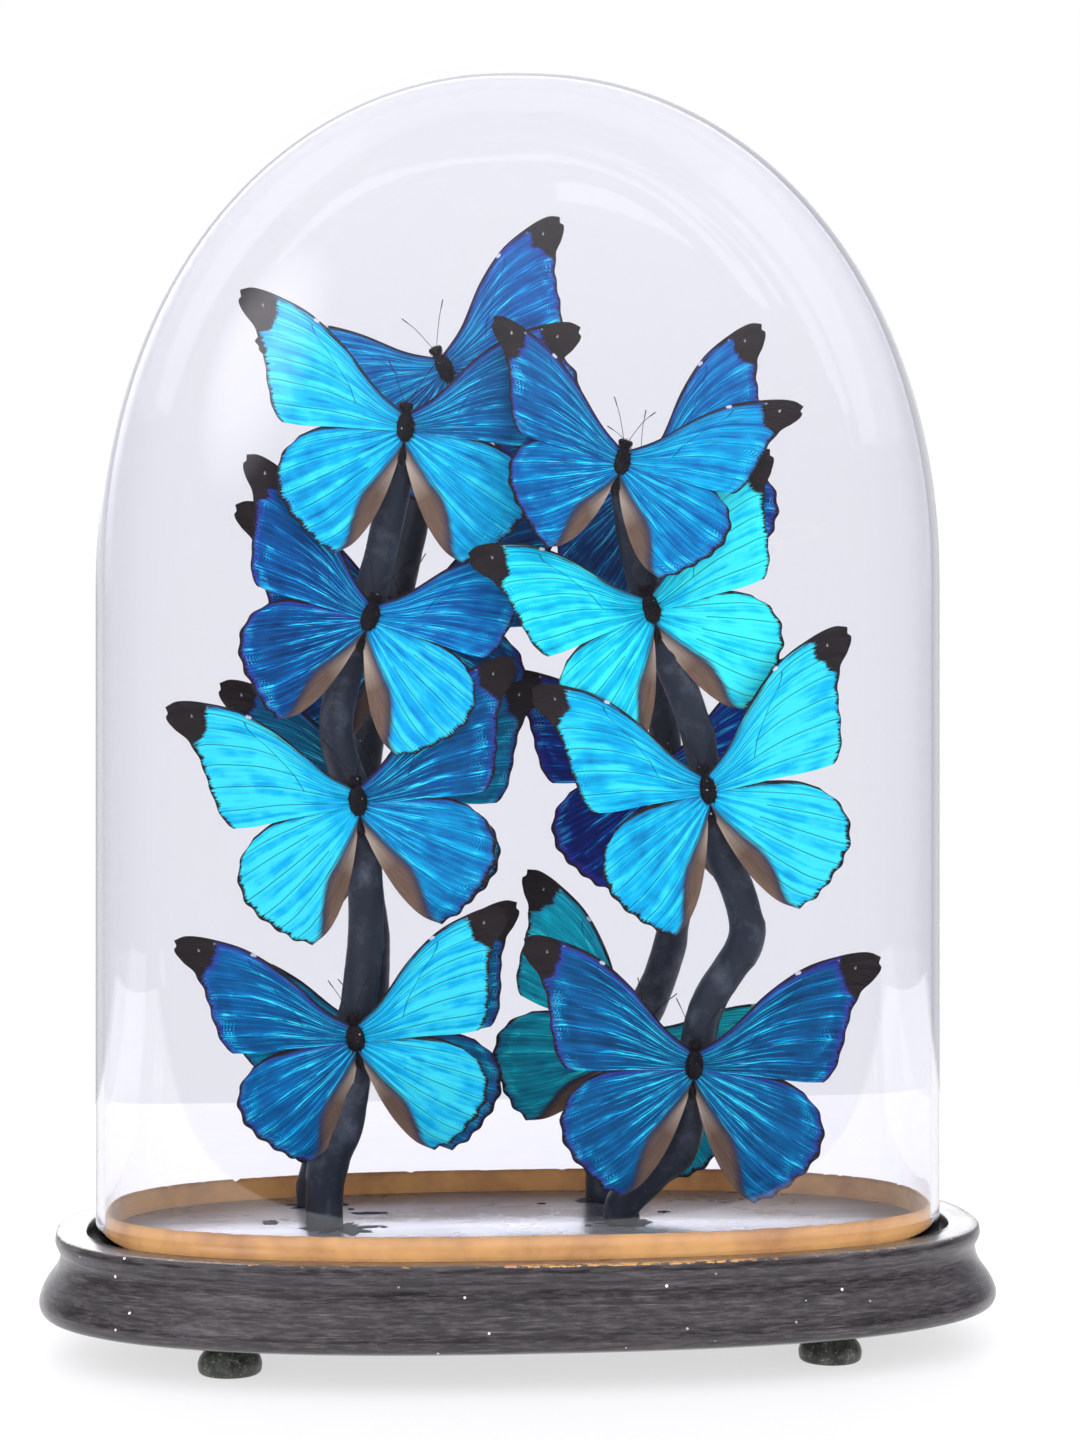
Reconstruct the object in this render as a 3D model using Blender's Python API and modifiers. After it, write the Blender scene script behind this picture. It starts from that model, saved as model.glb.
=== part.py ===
"""Blue butterflies on black branches, under an oval glass dome on a moulded wooden base.

Metres, +Z up. The origin is on the table, below the middle of the dome. +X is to the viewer's right
and -Y is towards the viewer. Sizes below are in millimetres and MM turns them to metres.
"""

import math

import bmesh
import bpy
from mathutils import Matrix, Vector

MM = 0.001
GAP = 0.3  # clearance between pieces that rest on each other
TINY = 0.00001

# Glass dome
GLASS_HALF_LENGTH = 166.0
GLASS_HALF_DEPTH = 82.0
GLASS_WALL = 3.0
GLASS_TOP = 500.0
SPRING_HEIGHT = 298.0  # where the straight sides end and the arch starts
ARCH_POWER_FRONT = 2.1  # superellipse exponents of the arch, seen from the front and from the side
ARCH_POWER_SIDE = 2.3
OVAL_POWER = 2.5  # superellipse exponent of the oval plan
OVAL_SEGMENTS = 36
DOME_RINGS = 7

# Base, all offsets measured outwards from the outside of the glass
UNDERSIDE = 15.0
SEAT_HEIGHT = 40.0
RIM_TOP = 46.5
RIM_INNER_OFFSET = 3.2
MOULDING = (  # outline of the edge from the underside to the rim, as offset and height
    (16.5, UNDERSIDE),
    (20.2, 16.6),
    (21.5, 20.4),
    (19.6, 25.4),
    (15.9, 30.6),
    (14.1, 34.4),
    (13.6, 38.6),
    (15.3, 41.6),
    (15.3, 45.7),
    (14.4, RIM_TOP),
)

FLOOR_TOP = 45.4
FLOOR_OFFSET = -5.2
BAND_OUTER_OFFSET = -3.5
BAND_THICKNESS = 1.2
BAND_TOP = 54.3

FOOT_X = 114.0
FOOT_Y = 51.0
FOOT_PROFILE = (  # turned outline from the top to the sole, as radius and height
    (0.0, UNDERSIDE - GAP),
    (6.2, UNDERSIDE - GAP),
    (7.4, 11.2),
    (10.2, 7.8),
    (12.0, 4.2),
    (12.0, 1.6),
    (11.2, 0.0),
    (0.0, 0.0),
)
FOOT_STEPS = 14

# Branches: radius at the foot and at the tip, then the route from the foot up
BRANCHES = {
    "front_left": (
        7.6,
        6.3,
        (
            (-77, -2, 0),
            (-77, -2, 12),
            (-75, -5, 27),
            (-69, -10, 42),
            (-66, -15, 74),
            (-62, -19, 112),
            (-62, -20, 135),
            (-65, -20, 165),
            (-73, -20, 192),
            (-70, -20, 214),
            (-61, -20, 241),
            (-53, -20, 276),
            (-45, -20, 312),
        ),
    ),
    "front_right": (
        7.4,
        6.2,
        (
            (40, -2, 0),
            (41, -3, 8),
            (53, -7, 21),
            (63, -12, 34),
            (68, -18, 73),
            (73, -19, 90),
            (86, -20, 112),
            (84, -20, 130),
            (75, -20, 152),
            (68, -20, 190),
            (59, -20, 217),
            (49, -20, 242),
            (43, -20, 266),
            (38, -20, 297),
        ),
    ),
    "back_left": (
        7.0,
        5.6,
        (
            (-79, 50, 0),
            (-79, 50, 12),
            (-73, 46, 34),
            (-60, 40, 62),
            (-56, 37, 95),
            (-59, 36, 140),
            (-59, 36, 180),
            (-50, 36, 230),
            (-40, 36, 275),
            (-33, 35, 312),
            (-30, 34, 342),
        ),
    ),
    "back_right": (
        7.0,
        5.6,
        (
            (39, 52, 0),
            (39, 51, 14),
            (43, 46, 40),
            (53, 40, 72),
            (63, 38, 100),
            (68, 38, 125),
            (66, 38, 165),
            (61, 36, 215),
            (57, 35, 262),
            (52, 34, 298),
        ),
    ),
}
BRANCH_POINTS = 17
ROUTE_SAMPLES = 200  # fine enough to find a height on a branch to within 2 mm

# Butterfly, in lengths of one forewing: x runs out along the right wing and y towards the head
FOREWING = (
    (0.0, 0.07),
    (0.33, 0.36),
    (0.79, 0.605),
    (0.88, 0.56),
    (0.755, 0.27),
    (0.65, -0.03),
    (0.0, -0.01),
)
HINDWING = ((0.0, 0.02), (0.36, 0.035), (0.64, -0.20), (0.55, -0.51), (0.33, -0.66), (0.07, -0.36))
FOREWING_CORNERS = (0, 6)
HINDWING_CORNERS = (0,)
WING_THICKNESS = 0.8
FOREWING_LEVEL = 1.3  # height of each wing plate over the middle of the body
HINDWING_LEVEL = 0.7
BODY = (  # place along the body, and radius there
    (12.0, 1.6),
    (8.8, 2.2),
    (4.0, 3.9),
    (-5.0, 3.2),
    (-14.0, 1.0),
)
ANTENNA_RADIUS = 0.4
ANTENNA = ((1.0, 10.5, 0.8), (7.0, 33.0, 4.0))
BODY_RADIUS = 4.2  # thorax and the glue that holds it to the branch

# Each butterfly: branch, height on it, offset to the side, turn, lean, roll, forewing swing, left and
# right wing lift in degrees, and forewing length. Turn brings the left wings forward, lean takes the
# head back, roll takes the head to the left and swing takes the tips of the forewings up.
BUTTERFLIES = {
    "front_left_1": ("front_left", 309, -2, 12, 5, -4, 0, 3, 5, 76),
    "front_left_2": ("front_left", 238, 1, 12, 6, -17, 0, 8, 8, 73),
    "front_left_3": ("front_left", 166, 0, 7, 3, 8, 0, 6, 3, 77),
    "front_left_4": ("front_left", 77, 0, -7, -15, 6, 3, 2, 2, 74),
    "front_right_1": ("front_right", 305, -2, 8, 22, -16, -5, 16, 14, 70),
    "front_right_2": ("front_right", 240, -2, 13, 0, 19, 0, 5, 4, 74),
    "front_right_3": ("front_right", 171, -2, 5, 4, 11, 4, 14, 12, 78),
    "front_right_4": ("front_right", 63, -2, -5, 0, -3, 0, 6, 7, 78),
    "back_left_1": ("back_left", 338, 2, 13, 8, 24, -6, 8, 5, 76),
    "back_left_2": ("back_left", 240, 3, 1, -7, 0, 0, 5, 4, 76),
    "back_left_3": ("back_left", 167, 5, 4, 3, 0, 0, 13, 16, 75),
    "back_left_4": ("back_left", 70, 1, 5, 2, 9, 0, 6, 8, 75),
    "back_right_1": ("back_right", 296, 1, 9, 6, 18, 0, 8, 6, 75),
    "back_right_2": ("back_right", 176, -3, -10, 6, 3, 0, 3, 8, 72),
    "back_right_3": ("back_right", 69, -2, -20, -8, -27, 0, 10, 10, 78),
}


def collection(name, parent, hidden=False):
    made = bpy.data.collections.new(name)
    made.hide_render = hidden
    parent.children.link(made)
    return made


def material(name, colour, roughness, metallic=0.0, transmission=0.0):
    made = bpy.data.materials.new(name)
    made.use_nodes = True
    shader = made.node_tree.nodes["Principled BSDF"]
    shader.inputs["Base Color"].default_value = (*colour, 1.0)
    shader.inputs["Roughness"].default_value = roughness
    shader.inputs["Metallic"].default_value = metallic
    shader.inputs["Transmission Weight"].default_value = transmission
    return made


def add_object(name, data, home, finish):
    obj = bpy.data.objects.new(name, data)
    home.objects.link(obj)
    data.materials.append(finish)
    return obj


def finish_mesh(bm, name, home, finish, sharp_angle=40.0):
    """Turns a bmesh in millimetres into a smooth-shaded object in metres."""
    bmesh.ops.scale(bm, vec=(MM, MM, MM), verts=bm.verts)
    mesh = bpy.data.meshes.new(name)
    bm.to_mesh(mesh)
    bm.free()
    mesh.shade_smooth()
    mesh.set_sharp_from_angle(angle=math.radians(sharp_angle))
    return add_object(name, mesh, home, finish)


def signed_power(value, power):
    return math.copysign(abs(value) ** power, value)


def oval_point(half_length, half_depth, direction, height):
    """The point of an oval ring that a unit direction in plan falls on."""
    x = half_length * signed_power(direction.x, 2 / OVAL_POWER)
    y = half_depth * signed_power(direction.y, 2 / OVAL_POWER)
    return Vector((x, y, height))


def place_ring(verts, directions, offset, height):
    for vert, direction in zip(verts, directions):
        vert.co = oval_point(GLASS_HALF_LENGTH + offset, GLASS_HALF_DEPTH + offset, direction, height)


def oval_rings(bm, rings, fill_start, fill_end):
    """One oval ring for each (offset, height), each extruded from the last."""
    made = bmesh.ops.create_circle(bm, segments=OVAL_SEGMENTS, radius=1.0, cap_ends=fill_start)
    verts = made["verts"]
    directions = [vert.co.copy() for vert in verts]
    place_ring(verts, directions, *rings[0])
    edges = [edge for edge in bm.edges]
    for ring in rings[1:]:
        grown = bmesh.ops.extrude_edge_only(bm, edges=edges)["geom"]
        edges = [item for item in grown if isinstance(item, bmesh.types.BMEdge)]
        new = {vert for edge in edges for vert in edge.verts}
        # Each new vertex starts on top of the old one that it was drawn out of.
        old = {vert: directions[i] for i, vert in enumerate(verts)}
        pairs = [(vert, old[other]) for vert in new for other in linked(vert, old)]
        verts = [vert for vert, _ in pairs]
        directions = [direction for _, direction in pairs]
        place_ring(verts, directions, *ring)
        edges = [edge for edge in edges if all(vert in new for vert in edge.verts)]
    if fill_end:
        bmesh.ops.edgeloop_fill(bm, edges=edges)
    bmesh.ops.recalc_face_normals(bm, faces=bm.faces)


def linked(vert, old):
    return [edge.other_vert(vert) for edge in vert.link_edges if edge.other_vert(vert) in old]


def make_base(home, finish):
    rings = [*MOULDING, (RIM_INNER_OFFSET, RIM_TOP), (RIM_INNER_OFFSET, SEAT_HEIGHT)]
    bm = bmesh.new()
    oval_rings(bm, rings, fill_start=True, fill_end=True)
    finish_mesh(bm, "base_moulding", home, finish)


def make_floor(home, finish):
    rings = [(FLOOR_OFFSET, SEAT_HEIGHT + GAP), (FLOOR_OFFSET, FLOOR_TOP)]
    bm = bmesh.new()
    oval_rings(bm, rings, fill_start=True, fill_end=True)
    finish_mesh(bm, "floor_board", home, finish)


def make_band(home, finish):
    rings = [(BAND_OUTER_OFFSET, SEAT_HEIGHT + GAP), (BAND_OUTER_OFFSET, BAND_TOP)]
    bm = bmesh.new()
    oval_rings(bm, rings, fill_start=False, fill_end=False)
    band = finish_mesh(bm, "card_band", home, finish)
    add_wall(band, BAND_THICKNESS)


def add_wall(obj, thickness):
    """Gives an open surface a wall on its inner side."""
    wall = obj.modifiers.new("wall", "SOLIDIFY")
    wall.thickness = thickness * MM
    wall.offset = -1.0
    wall.use_even_offset = True


def make_dome(home, finish):
    """The upper half of a sphere, stretched over the arch, with straight sides drawn down from it."""
    bm = bmesh.new()
    bmesh.ops.create_uvsphere(bm, u_segments=OVAL_SEGMENTS, v_segments=2 * DOME_RINGS, radius=1.0)
    below = [vert for vert in bm.verts if vert.co.z < -TINY]
    bmesh.ops.delete(bm, geom=below, context="VERTS")
    for vert in bm.verts:
        vert.co = dome_point(vert.co)
    foot = [edge for edge in bm.edges if edge.is_boundary]
    for height in (0.5 * (SPRING_HEIGHT + SEAT_HEIGHT), SEAT_HEIGHT + GAP):
        grown = bmesh.ops.extrude_edge_only(bm, edges=foot)["geom"]
        verts = [item for item in grown if isinstance(item, bmesh.types.BMVert)]
        for vert in verts:
            vert.co.z = height
        foot = [edge for edge in bm.edges if edge.is_boundary]
    bmesh.ops.recalc_face_normals(bm, faces=bm.faces)
    dome = finish_mesh(bm, "glass_dome", home, finish, sharp_angle=60.0)
    add_wall(dome, GLASS_WALL)


def dome_point(unit):
    """The place on the arch of a point of the unit sphere."""
    level = math.hypot(unit.x, unit.y)
    rise = max(unit.z, 0.0) ** (2 / ARCH_POWER_FRONT)
    front = level ** (2 / ARCH_POWER_FRONT)
    side = max(1.0 - rise**ARCH_POWER_SIDE, 0.0) ** (1 / ARCH_POWER_SIDE)
    height = SPRING_HEIGHT + (GLASS_TOP - SPRING_HEIGHT) * rise
    if level < TINY:
        return Vector((0.0, 0.0, GLASS_TOP))
    direction = Vector((unit.x / level, unit.y / level, 0.0))
    return oval_point(GLASS_HALF_LENGTH * front, GLASS_HALF_DEPTH * side, direction, height)


def make_foot(name, x, y, home, finish):
    mesh = bpy.data.meshes.new(name)
    points = [(radius * MM, 0.0, height * MM) for radius, height in FOOT_PROFILE]
    mesh.from_pydata(points, [(i, i + 1) for i in range(len(points) - 1)], [])
    foot = add_object(name, mesh, home, finish)
    foot.location = (x * MM, y * MM, 0.0)
    turn = foot.modifiers.new("turned", "SCREW")
    turn.steps = turn.render_steps = FOOT_STEPS
    turn.use_merge_vertices = True
    turn.merge_threshold = 0.0001


def branch_route(name):
    points = BRANCHES[name][2]
    return [Vector((x, y, z + FLOOR_TOP + GAP)) for x, y, z in points]


def smooth(route, count):
    """Points at even steps along a smooth curve through the route."""
    ends = [2 * route[0] - route[1], *route, 2 * route[-1] - route[-2]]
    spans = len(route) - 1
    points = []
    for i in range(count):
        place = spans * i / (count - 1)
        k = min(int(place), spans - 1)
        t = place - k
        a, b, c, d = ends[k : k + 4]
        bend = 2 * b + (c - a) * t + (2 * a - 5 * b + 4 * c - d) * t * t + (3 * b - a - 3 * c + d) * t**3
        points.append(bend / 2)
    return points


def tube(name, points, radii, sides_resolution):
    """A curve object, in metres, with a round section of changing radius and closed ends."""
    data = bpy.data.curves.new(name, "CURVE")
    data.dimensions = "3D"
    data.bevel_depth = MM
    data.bevel_resolution = sides_resolution
    data.use_fill_caps = True
    spline = data.splines.new("POLY")
    spline.points.add(len(points) - 1)
    for point, place, radius in zip(spline.points, points, radii):
        point.co = (*(Vector(place) * MM), 1.0)
        point.radius = radius
    return data


def make_branch(name, home, finish):
    foot_radius, tip_radius, _ = BRANCHES[name]
    points = smooth(branch_route(name), BRANCH_POINTS)
    radii = [foot_radius + (tip_radius - foot_radius) * i / (len(points) - 1) for i in range(len(points))]
    # The foot is square to the board for its first step.
    points[1].x = points[0].x
    points[1].y = points[0].y
    add_object(f"branch_{name}", tube(f"branch_{name}", points, radii, 2), home, finish)


def branch_at(name, height):
    """Middle and radius of a branch at a height over the floor board."""
    foot_radius, tip_radius, _ = BRANCHES[name]
    points = smooth(branch_route(name), ROUTE_SAMPLES)
    level = height + FLOOR_TOP + GAP
    i = min(range(len(points)), key=lambda k: abs(points[k].z - level))
    radius = foot_radius + (tip_radius - foot_radius) * i / (len(points) - 1)
    return points[i], radius


def to_mesh(data, helpers):
    """A closed mesh made from curve data."""
    obj = bpy.data.objects.new(data.name, data)
    helpers.objects.link(obj)
    bpy.context.view_layer.update()
    graph = bpy.context.evaluated_depsgraph_get()
    mesh = bpy.data.meshes.new_from_object(obj.evaluated_get(graph))
    bpy.data.objects.remove(obj)
    bm = bmesh.new()
    bm.from_mesh(mesh)
    bmesh.ops.remove_doubles(bm, verts=bm.verts, dist=TINY)
    bmesh.ops.recalc_face_normals(bm, faces=bm.faces)
    bm.to_mesh(mesh)
    bm.free()
    return mesh


def wing_mesh(outline, corners, length, level, helpers):
    """A flat right wing: a smooth outline, extruded to the wing's thickness."""
    data = bpy.data.curves.new("wing", "CURVE")
    data.dimensions = "2D"
    data.fill_mode = "BOTH"
    data.extrude = WING_THICKNESS / 2 * MM
    data.resolution_u = 2
    spline = data.splines.new("BEZIER")
    spline.bezier_points.add(len(outline) - 1)
    spline.use_cyclic_u = True
    for i, (point, (x, y)) in enumerate(zip(spline.bezier_points, outline)):
        point.co = (x * length * MM, y * length * MM, 0.0)
        handle = "VECTOR" if i in corners else "AUTO"
        point.handle_left_type = handle
        point.handle_right_type = handle
    mesh = to_mesh(data, helpers)
    mesh.transform(Matrix.Translation((0.0, 0.0, level * MM)))
    return mesh


def lifted(mesh, side, lift):
    """A copy of a right wing, for the right (side 1) or the left (side -1), raised by its lift."""
    made = mesh.copy()
    made.transform(Matrix.Rotation(-math.radians(lift), 4, "Y"))
    if side < 0:
        made.transform(Matrix.Diagonal((-1.0, 1.0, 1.0, 1.0)))
        made.flip_normals()
    return made


def antenna_mesh(side, helpers):
    points = [(side * x, y, z) for x, y, z in ANTENNA]
    return to_mesh(tube("antenna", points, [ANTENNA_RADIUS] * len(points), 0), helpers)


def body_mesh(helpers):
    points = [(0.0, place, 0.0) for place, _ in BODY]
    return to_mesh(tube("body", points, [radius for _, radius in BODY], 1), helpers)


def fused(name, meshes, home, helpers, finish):
    """One closed mesh that joins overlapping meshes."""
    group = collection(f"{name}_pieces", helpers, hidden=True)
    for mesh in meshes[1:]:
        piece = bpy.data.objects.new("piece", mesh)
        piece.hide_render = True
        group.objects.link(piece)
    obj = add_object(name, meshes[0], home, finish)
    join = obj.modifiers.new("fused", "BOOLEAN")
    join.operation = "UNION"
    join.operand_type = "COLLECTION"
    join.collection = group
    bpy.context.view_layer.update()
    graph = bpy.context.evaluated_depsgraph_get()
    mesh = bpy.data.meshes.new_from_object(obj.evaluated_get(graph))
    obj.modifiers.clear()
    obj.data = mesh
    mesh.name = name
    for piece in list(group.objects):
        bpy.data.objects.remove(piece)
    bpy.data.collections.remove(group)
    return obj


def make_butterfly(name, home, helpers, finish):
    branch, height, aside, turn, lean, roll, swing, lift_left, lift_right, length = BUTTERFLIES[name]
    fore = wing_mesh(FOREWING, FOREWING_CORNERS, length, FOREWING_LEVEL, helpers)
    fore.transform(Matrix.Rotation(math.radians(swing), 4, "Z"))
    hind = wing_mesh(HINDWING, HINDWING_CORNERS, length, HINDWING_LEVEL, helpers)
    meshes = [body_mesh(helpers)]
    for wing in (fore, hind):
        meshes.append(lifted(wing, 1, lift_right))
        meshes.append(lifted(wing, -1, lift_left))
    for side in (-1, 1):
        meshes.append(antenna_mesh(side, helpers))
    butterfly = fused(f"butterfly_{name}", meshes, home, helpers, finish)
    middle, radius = branch_at(branch, height)
    place = middle + Vector((aside, -radius - BODY_RADIUS, 0.0))
    spin = Matrix.Rotation(math.radians(turn), 4, "Z")
    spin @= Matrix.Rotation(math.radians(90.0 - lean), 4, "X")
    spin @= Matrix.Rotation(math.radians(roll), 4, "Z")
    butterfly.matrix_world = Matrix.Translation(place * MM) @ spin


def main():
    for obj in list(bpy.data.objects):
        bpy.data.objects.remove(obj)
    scene = bpy.context.scene.collection
    home = collection("butterflies_under_glass", scene)
    helpers = collection("helpers", scene, hidden=True)

    ebonised = material("ebonised_wood", (0.012, 0.011, 0.011), 0.35)
    lacquer = material("black_lacquer", (0.01, 0.01, 0.012), 0.08)
    card = material("honey_card", (0.60, 0.32, 0.12), 0.6)
    glass = material("clear_glass", (0.95, 0.96, 0.97), 0.0, transmission=1.0)
    bark = material("painted_branch", (0.02, 0.021, 0.025), 0.35)
    wing = material("blue_wing", (0.01, 0.35, 0.75), 0.3, metallic=0.6)

    make_base(home, ebonised)
    make_floor(home, lacquer)
    make_band(home, card)
    make_dome(home, glass)
    for depth, y in (("front", -FOOT_Y), ("back", FOOT_Y)):
        for side, x in (("left", -FOOT_X), ("right", FOOT_X)):
            make_foot(f"foot_{depth}_{side}", x, y, home, ebonised)
    for name in BRANCHES:
        make_branch(name, home, bark)
    for name in BUTTERFLIES:
        make_butterfly(name, home, helpers, wing)


main()
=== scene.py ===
"""Blue butterflies on black branches, under an oval glass dome on a moulded wooden base.

The file is laid out as a Blender add-on and is run as a script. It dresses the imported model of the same
thing: every piece stands where its node stands, in metres. Sizes that are only used to make shapes are in
millimetres, and MM turns them to metres.
"""

import math

import bmesh
import bpy
from mathutils import Matrix, Vector, noise


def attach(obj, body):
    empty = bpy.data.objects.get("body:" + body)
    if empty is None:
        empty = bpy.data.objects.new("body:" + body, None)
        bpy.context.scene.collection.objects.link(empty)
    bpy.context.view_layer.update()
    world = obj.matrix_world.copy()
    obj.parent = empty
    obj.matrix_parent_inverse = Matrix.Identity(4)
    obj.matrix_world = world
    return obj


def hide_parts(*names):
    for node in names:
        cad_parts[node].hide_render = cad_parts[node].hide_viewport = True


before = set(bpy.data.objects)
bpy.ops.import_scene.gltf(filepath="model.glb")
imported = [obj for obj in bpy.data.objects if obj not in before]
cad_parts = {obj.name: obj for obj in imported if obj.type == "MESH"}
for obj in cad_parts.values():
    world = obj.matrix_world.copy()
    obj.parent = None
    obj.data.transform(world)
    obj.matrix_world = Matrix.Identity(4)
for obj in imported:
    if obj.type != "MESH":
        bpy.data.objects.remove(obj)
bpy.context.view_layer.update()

bl_info = {
    "name": "Butterflies under a glass dome",
    "version": (1, 0, 0),
    "blender": (4, 5, 0),
    "location": "3D View > Sidebar > Dome",
    "description": "Models mounted blue butterflies, their branches, and the dome and base that hold them",
    "category": "Add Mesh",
}

BODY = "root"
MM = 0.001

# Oval plan, measured on the outside of the glass
GLASS_HALF_LENGTH = 166.0
GLASS_HALF_DEPTH = 82.0
GLASS_TOP = 500.0
SPRING_HEIGHT = 298.0  # where the straight sides end and the arch starts
ARCH_POWER_FRONT = 2.1
ARCH_POWER_SIDE = 2.3
OVAL_POWER = 2.5
TURNING_RADIUS = 1000.0  # radius that stands for the outside of the glass while an oval is spun

# Base, as offsets outwards from the outside of the glass and heights
UNDERSIDE = 15.0
SEAT_HEIGHT = 40.0
RIM_TOP = 46.5
RIM_INNER_OFFSET = 3.2
OGEE = (
    (16.5, UNDERSIDE),
    (20.2, 16.6),
    (21.5, 20.4),
    (19.6, 25.4),
    (15.9, 30.6),
    (14.1, 34.4),
    (13.5, 38.4),
    (14.7, 41.2),
    (15.4, 43.4),
    (15.1, 45.7),
)
FLOOR_TOP = 45.4
FLOOR_OFFSET = -5.2
BAND_OUTER_OFFSET = -3.5
BAND_THICKNESS = 1.2
BAND_TOP = 54.3
GAP = 0.3

FOOT_X = 114.0
FOOT_Y = 51.0
FOOT_OUTLINE = (  # radius and height, from the neck to the sole
    (6.2, 14.7),
    (6.9, 12.6),
    (8.0, 10.4),
    (9.8, 8.2),
    (11.3, 6.2),
    (12.0, 4.2),
    (12.0, 2.6),
    (11.7, 1.0),
    (11.0, 0.2),
    (10.4, 0.0),
)

# Branches: radius at the foot and at the tip, then the route from the foot up
BRANCHES = {
    "front_left": (
        7.6,
        6.3,
        (
            (-77, -2, 0),
            (-77, -2, 12),
            (-75, -5, 27),
            (-69, -10, 42),
            (-66, -15, 74),
            (-62, -19, 112),
            (-62, -20, 135),
            (-65, -20, 165),
            (-73, -20, 192),
            (-70, -20, 214),
            (-61, -20, 241),
            (-53, -20, 276),
            (-45, -20, 312),
        ),
    ),
    "front_right": (
        7.4,
        6.2,
        (
            (40, -2, 0),
            (41, -3, 8),
            (53, -7, 21),
            (63, -12, 34),
            (68, -18, 73),
            (73, -19, 90),
            (86, -20, 112),
            (84, -20, 130),
            (75, -20, 152),
            (68, -20, 190),
            (59, -20, 217),
            (49, -20, 242),
            (43, -20, 266),
            (38, -20, 297),
        ),
    ),
    "back_left": (
        7.0,
        5.6,
        (
            (-79, 50, 0),
            (-79, 50, 12),
            (-73, 46, 34),
            (-60, 40, 62),
            (-56, 37, 95),
            (-59, 36, 140),
            (-59, 36, 180),
            (-50, 36, 230),
            (-40, 36, 275),
            (-33, 35, 312),
            (-30, 34, 342),
        ),
    ),
    "back_right": (
        7.0,
        5.6,
        (
            (39, 52, 0),
            (39, 51, 14),
            (43, 46, 40),
            (53, 40, 72),
            (63, 38, 100),
            (68, 38, 125),
            (66, 38, 165),
            (61, 36, 215),
            (57, 35, 262),
            (52, 34, 298),
        ),
    ),
}

# Pools and blots of black paint on the board: offset from the branch's foot to the right and to the front,
# and half width and half depth.
PUDDLES = {
    "front_left": ((6, 4, 13.0, 12.0), (-21, -12, 3.0, 5.0), (19, -30, 7.0, 2.5), (23, 2, 1.2, 1.2)),
    "front_right": ((2, 3, 10.0, 9.0), (-14, 6, 1.3, 1.5), (20, -22, 2.2, 1.4)),
    "back_left": ((1, 1, 10.0, 8.0), (14, 12, 1.2, 1.2)),
    "back_right": ((-1, 1, 10.0, 7.0), (-26, 8, 1.6, 1.2)),
}

# Each butterfly: branch, height on it, offset to the side, turn, lean, roll, forewing swing, left and
# right wing lift in degrees, and forewing length.
BUTTERFLIES = {
    "front_left_1": ("front_left", 309, -2, 12, 5, -4, 0, 3, 5, 76),
    "front_left_2": ("front_left", 238, 1, 12, 6, -17, 0, 8, 8, 73),
    "front_left_3": ("front_left", 166, 0, 7, 3, 8, 0, 6, 3, 77),
    "front_left_4": ("front_left", 77, 0, -7, -15, 6, 3, 2, 2, 74),
    "front_right_1": ("front_right", 305, -2, 8, 22, -16, -5, 16, 14, 70),
    "front_right_2": ("front_right", 240, -2, 13, 0, 19, 0, 5, 4, 74),
    "front_right_3": ("front_right", 171, -2, 5, 4, 11, 4, 14, 12, 78),
    "front_right_4": ("front_right", 63, -2, -5, 0, -3, 0, 6, 7, 78),
    "back_left_1": ("back_left", 338, 2, 13, 8, 24, -6, 8, 5, 76),
    "back_left_2": ("back_left", 240, 3, 1, -7, 0, 0, 5, 4, 76),
    "back_left_3": ("back_left", 167, 5, 4, 3, 0, 0, 13, 16, 75),
    "back_left_4": ("back_left", 70, 1, 5, 2, 9, 0, 6, 8, 75),
    "back_right_1": ("back_right", 296, 1, 9, 6, 18, 0, 8, 6, 75),
    "back_right_2": ("back_right", 176, -3, -10, 6, 3, 0, 3, 8, 72),
    "back_right_3": ("back_right", 69, -2, -20, -8, -27, 0, 10, 10, 78),
}
# Painted light of each wing, from 0 (painted as in shade) to 1 (painted as facing the light): left forewing,
# left hindwing, right forewing, right hindwing, and the cast of the blue, from violet (-1) to teal (1).
PAINTED_WING_LIGHT = {
    "front_left_1": (0.86, 0.72, 0.22, 0.66, 0.0),
    "front_left_2": (0.16, 0.14, 0.36, 0.82, -0.2),
    "front_left_3": (0.95, 0.97, 0.16, 0.42, 0.0),
    "front_left_4": (0.20, 0.26, 0.92, 0.90, 0.0),
    "front_right_1": (0.22, 0.30, 0.52, 0.42, 0.0),
    "front_right_2": (0.86, 0.86, 0.98, 0.98, 0.5),
    "front_right_3": (0.78, 0.72, 0.94, 0.96, 0.1),
    "front_right_4": (0.14, 0.18, 0.12, 0.20, 0.1),
    "back_left_1": (0.40, 0.16, 0.26, 0.10, -0.3),
    "back_left_2": (0.12, 0.10, 0.14, 0.10, -0.3),
    "back_left_3": (0.20, 0.20, 0.30, 0.34, 0.5),
    "back_left_4": (0.46, 0.20, 0.20, 0.24, 0.4),
    "back_right_1": (0.10, 0.06, 0.34, 0.12, -0.2),
    "back_right_2": (0.10, 0.06, 0.22, 0.22, -1.0),
    "back_right_3": (0.56, 0.44, 0.70, 0.50, 1.0),
}

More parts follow.
